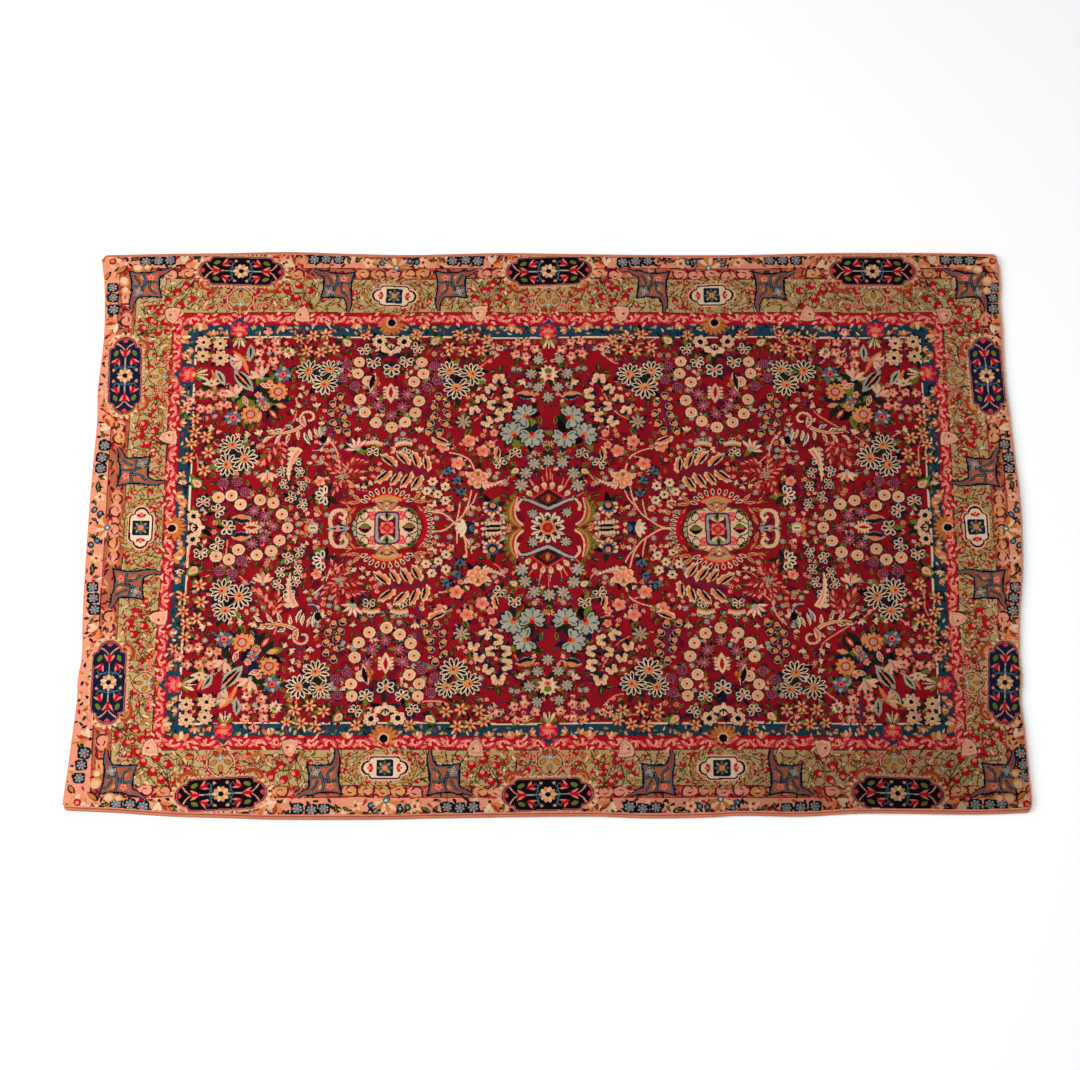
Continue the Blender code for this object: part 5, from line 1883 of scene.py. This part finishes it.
def make_edge(outline, material):
    """The rolled-over edge of the pile, its side, and the turn under the edge of the back."""
    run = np.roll(outline, -1, axis=0) - np.roll(outline, 1, axis=0)
    normals = np.stack((run[:, 1], -run[:, 0]), axis=1)
    normals /= np.linalg.norm(normals, axis=1, keepdims=True)
    levels = ((-4.0 * MM, -0.2 * MM), (0.0, -0.05 * MM), (0.5 * PILE_ROLL, -0.13 * PILE_ROLL),
              (0.87 * PILE_ROLL, -0.5 * PILE_ROLL), (PILE_ROLL, -PILE_ROLL), (PILE_ROLL, GAP - PILE_TOP),
              (-10.0 * MM, GAP - PILE_TOP))
    rings = [[(x, y, PILE_TOP + drop) for x, y in outline + normals * out] for out, drop in levels]
    piece = new_mesh_object("pile_edge", [point for ring in rings for point in ring],
                            swept(outline, rings), material)
    piece.data.shade_smooth()
    return piece


def make_selvedge(name, edge, sign, material):
    """Wool wrapped round the cord along one long side, one ridge for each turn."""
    low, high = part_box(name)
    steps = int((high[0] - low[0]) / WRAP_PITCH * 4)
    x = np.linspace(low[0] + 1.0 * MM, high[0] - 1.0 * MM, steps)
    middle = edge(x) + sign * (PILE_ROLL + GAP + SELVEDGE_WIDTH / 2)
    ridge = 1.0 - 0.13 * (np.arange(steps) % 4 == 0) + 0.03 * np.sin(np.arange(steps) * 0.37)
    rings = []
    for side in range(WRAP_SIDES):
        angle = 2 * math.pi * side / WRAP_SIDES
        lean = 0.4 * WRAP_PITCH * math.cos(angle)
        y = middle + math.cos(angle) * SELVEDGE_WIDTH / 2 * ridge
        z = SELVEDGE_HEIGHT / 2 + math.sin(angle) * SELVEDGE_HEIGHT / 2 * ridge
        x_leaned = np.clip(x + lean, low[0], high[0])
        rings.append(np.column_stack((x_leaned, y, np.maximum(z, BACK_HEIGHT))).tolist())
    rings.append(rings[0])
    points = [point for ring in rings for point in ring]
    faces = swept(rings[0], rings, closed=False)
    faces.append([side * steps for side in range(WRAP_SIDES)])
    faces.append([side * steps + steps - 1 for side in reversed(range(WRAP_SIDES))])
    piece = new_mesh_object(f"{name}_wraps", points, faces, material)
    piece.data.shade_smooth()
    return piece


def make_warp_ends(material):
    """The cotton threads along the right end, ragged with wear, each a bent three-sided strand."""
    rng = np.random.default_rng(21)
    low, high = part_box("warp_ends")
    ring = cad_ring("warp_ends")
    points, faces = [], []
    for y in np.arange(low[1] + 2 * MM, high[1] - 2 * MM, 1.0 * MM):
        start = RIGHT_EDGE(y) + PILE_ROLL - 1.0 * MM
        tip = ring[np.abs(ring[:, 1] - y) < 6 * MM, 0].max()
        reach = (tip - start) * rng.uniform(0.55, 1.0)
        drift, width = rng.normal(0, 2.2 * MM), rng.uniform(0.35, 0.6) * MM
        rise = rng.uniform(1.2, 3.2) * MM
        first = len(points)
        for share in (0.0, 0.4, 0.75, 1.0):
            x = start + reach * share
            at = min(max(y + drift * share * share, low[1]), high[1])
            z = rise * (1 - share) + 0.9 * MM * share + 0.6 * MM
            thick = width * (1.2 - 0.7 * share)
            points += [(x, at - thick, z - thick / 2), (x, at + thick, z - thick / 2), (x, at, z + thick)]
        for section in range(3):
            a, b = first + 3 * section, first + 3 * section + 3
            faces += [(a, a + 1, b + 1, b), (a + 1, a + 2, b + 2, b + 1), (a + 2, a, b, b + 2)]
        faces.append((first + 9, first + 10, first + 11))
    return new_mesh_object("warp_threads", points, faces, material)


def main():
    bpy.context.scene.view_settings.view_transform = "Standard"
    outline = in_order(RING)
    shapes = draw_rug()
    grid, corner = knot_grid(shapes, outline)
    colours = shape_colours(shapes)
    wool = pile_material()
    pile = make_pile(grid, corner, colours, wool)
    back = make_back(grid, corner, colours, back_material())
    edge = make_edge(outline, plain_wool("edge_wool", (192, 120, 96)))
    for piece in (*pile, back, edge):
        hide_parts("knotted_rug")
    overcast = plain_wool("overcast_wool", (190, 108, 82), 0.25)
    selvedges = (make_selvedge("selvedge_near", NEAR_EDGE, -1, overcast),
                 make_selvedge("selvedge_far", FAR_EDGE, 1, overcast))
    for piece, node in zip(selvedges, ("selvedge_near", "selvedge_far")):
        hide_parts(node)
    threads = make_warp_ends(plain_wool("thread_cotton", (226, 204, 168), 0.15))
    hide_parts("warp_ends")
    pieces = [*pile, edge, *selvedges, threads]
    for piece in (*pieces, back):
        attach(piece, "root")


# ---------------------------------------------------------------- camera and light
CAMERA_TARGET = (-0.0256, -0.0223, 0.0)
CAMERA_DISTANCE = 7.83
CAMERA_ELEVATION = 65.0
CAMERA_LENS = 117.3             # mm, on a 36 mm sensor
FLOOR_DROP = 0.2 * MM           # keeps the floor clear of the rug's underside
SKY_STRENGTH = 0.55


def make_camera():
    camera = bpy.data.objects.new("camera", bpy.data.cameras.new("camera"))
    bpy.context.collection.objects.link(camera)
    rise = math.radians(CAMERA_ELEVATION)
    target = Vector(CAMERA_TARGET)
    camera.location = target + CAMERA_DISTANCE * Vector((0.0, -math.cos(rise), math.sin(rise)))
    camera.rotation_euler = (math.radians(90 - CAMERA_ELEVATION), 0.0, 0.0)
    camera.data.sensor_width = 36.0
    camera.data.lens = CAMERA_LENS
    bpy.context.scene.camera = camera


def make_light(name, place, size, watts):
    """A rectangular light aimed at the rug's middle."""
    light = bpy.data.objects.new(name, bpy.data.lights.new(name, "AREA"))
    bpy.context.collection.objects.link(light)
    light.data.shape = "RECTANGLE"
    light.data.size, light.data.size_y = size
    light.data.energy = watts
    light.location = place
    light.rotation_euler = (-Vector(place)).to_track_quat("-Z", "Y").to_euler()


def make_stage():
    bpy.ops.mesh.primitive_plane_add(size=60)
    floor = bpy.context.object
    floor.name = "floor"
    material = bpy.data.materials.new("floor_paint")
    material.use_nodes = True
    shader = material.node_tree.nodes["Principled BSDF"]
    shader.inputs["Base Color"].default_value = (0.93, 0.93, 0.93, 1.0)
    shader.inputs["Roughness"].default_value = 0.9
    floor.data.materials.append(material)
    floor.location.z = -FLOOR_DROP
    world = bpy.data.worlds.new("studio")
    bpy.context.scene.world = world
    world.use_nodes = True
    world.node_tree.nodes["Background"].inputs["Color"].default_value = (1.0, 1.0, 1.0, 1.0)
    world.node_tree.nodes["Background"].inputs["Strength"].default_value = SKY_STRENGTH
    make_light("key", (-3.4, -0.6, 2.6), (2.6, 2.6), 170)
    make_light("fill", (1.5, 0.0, 4.5), (4.0, 4.0), 60)


make_camera()
make_stage()
main()
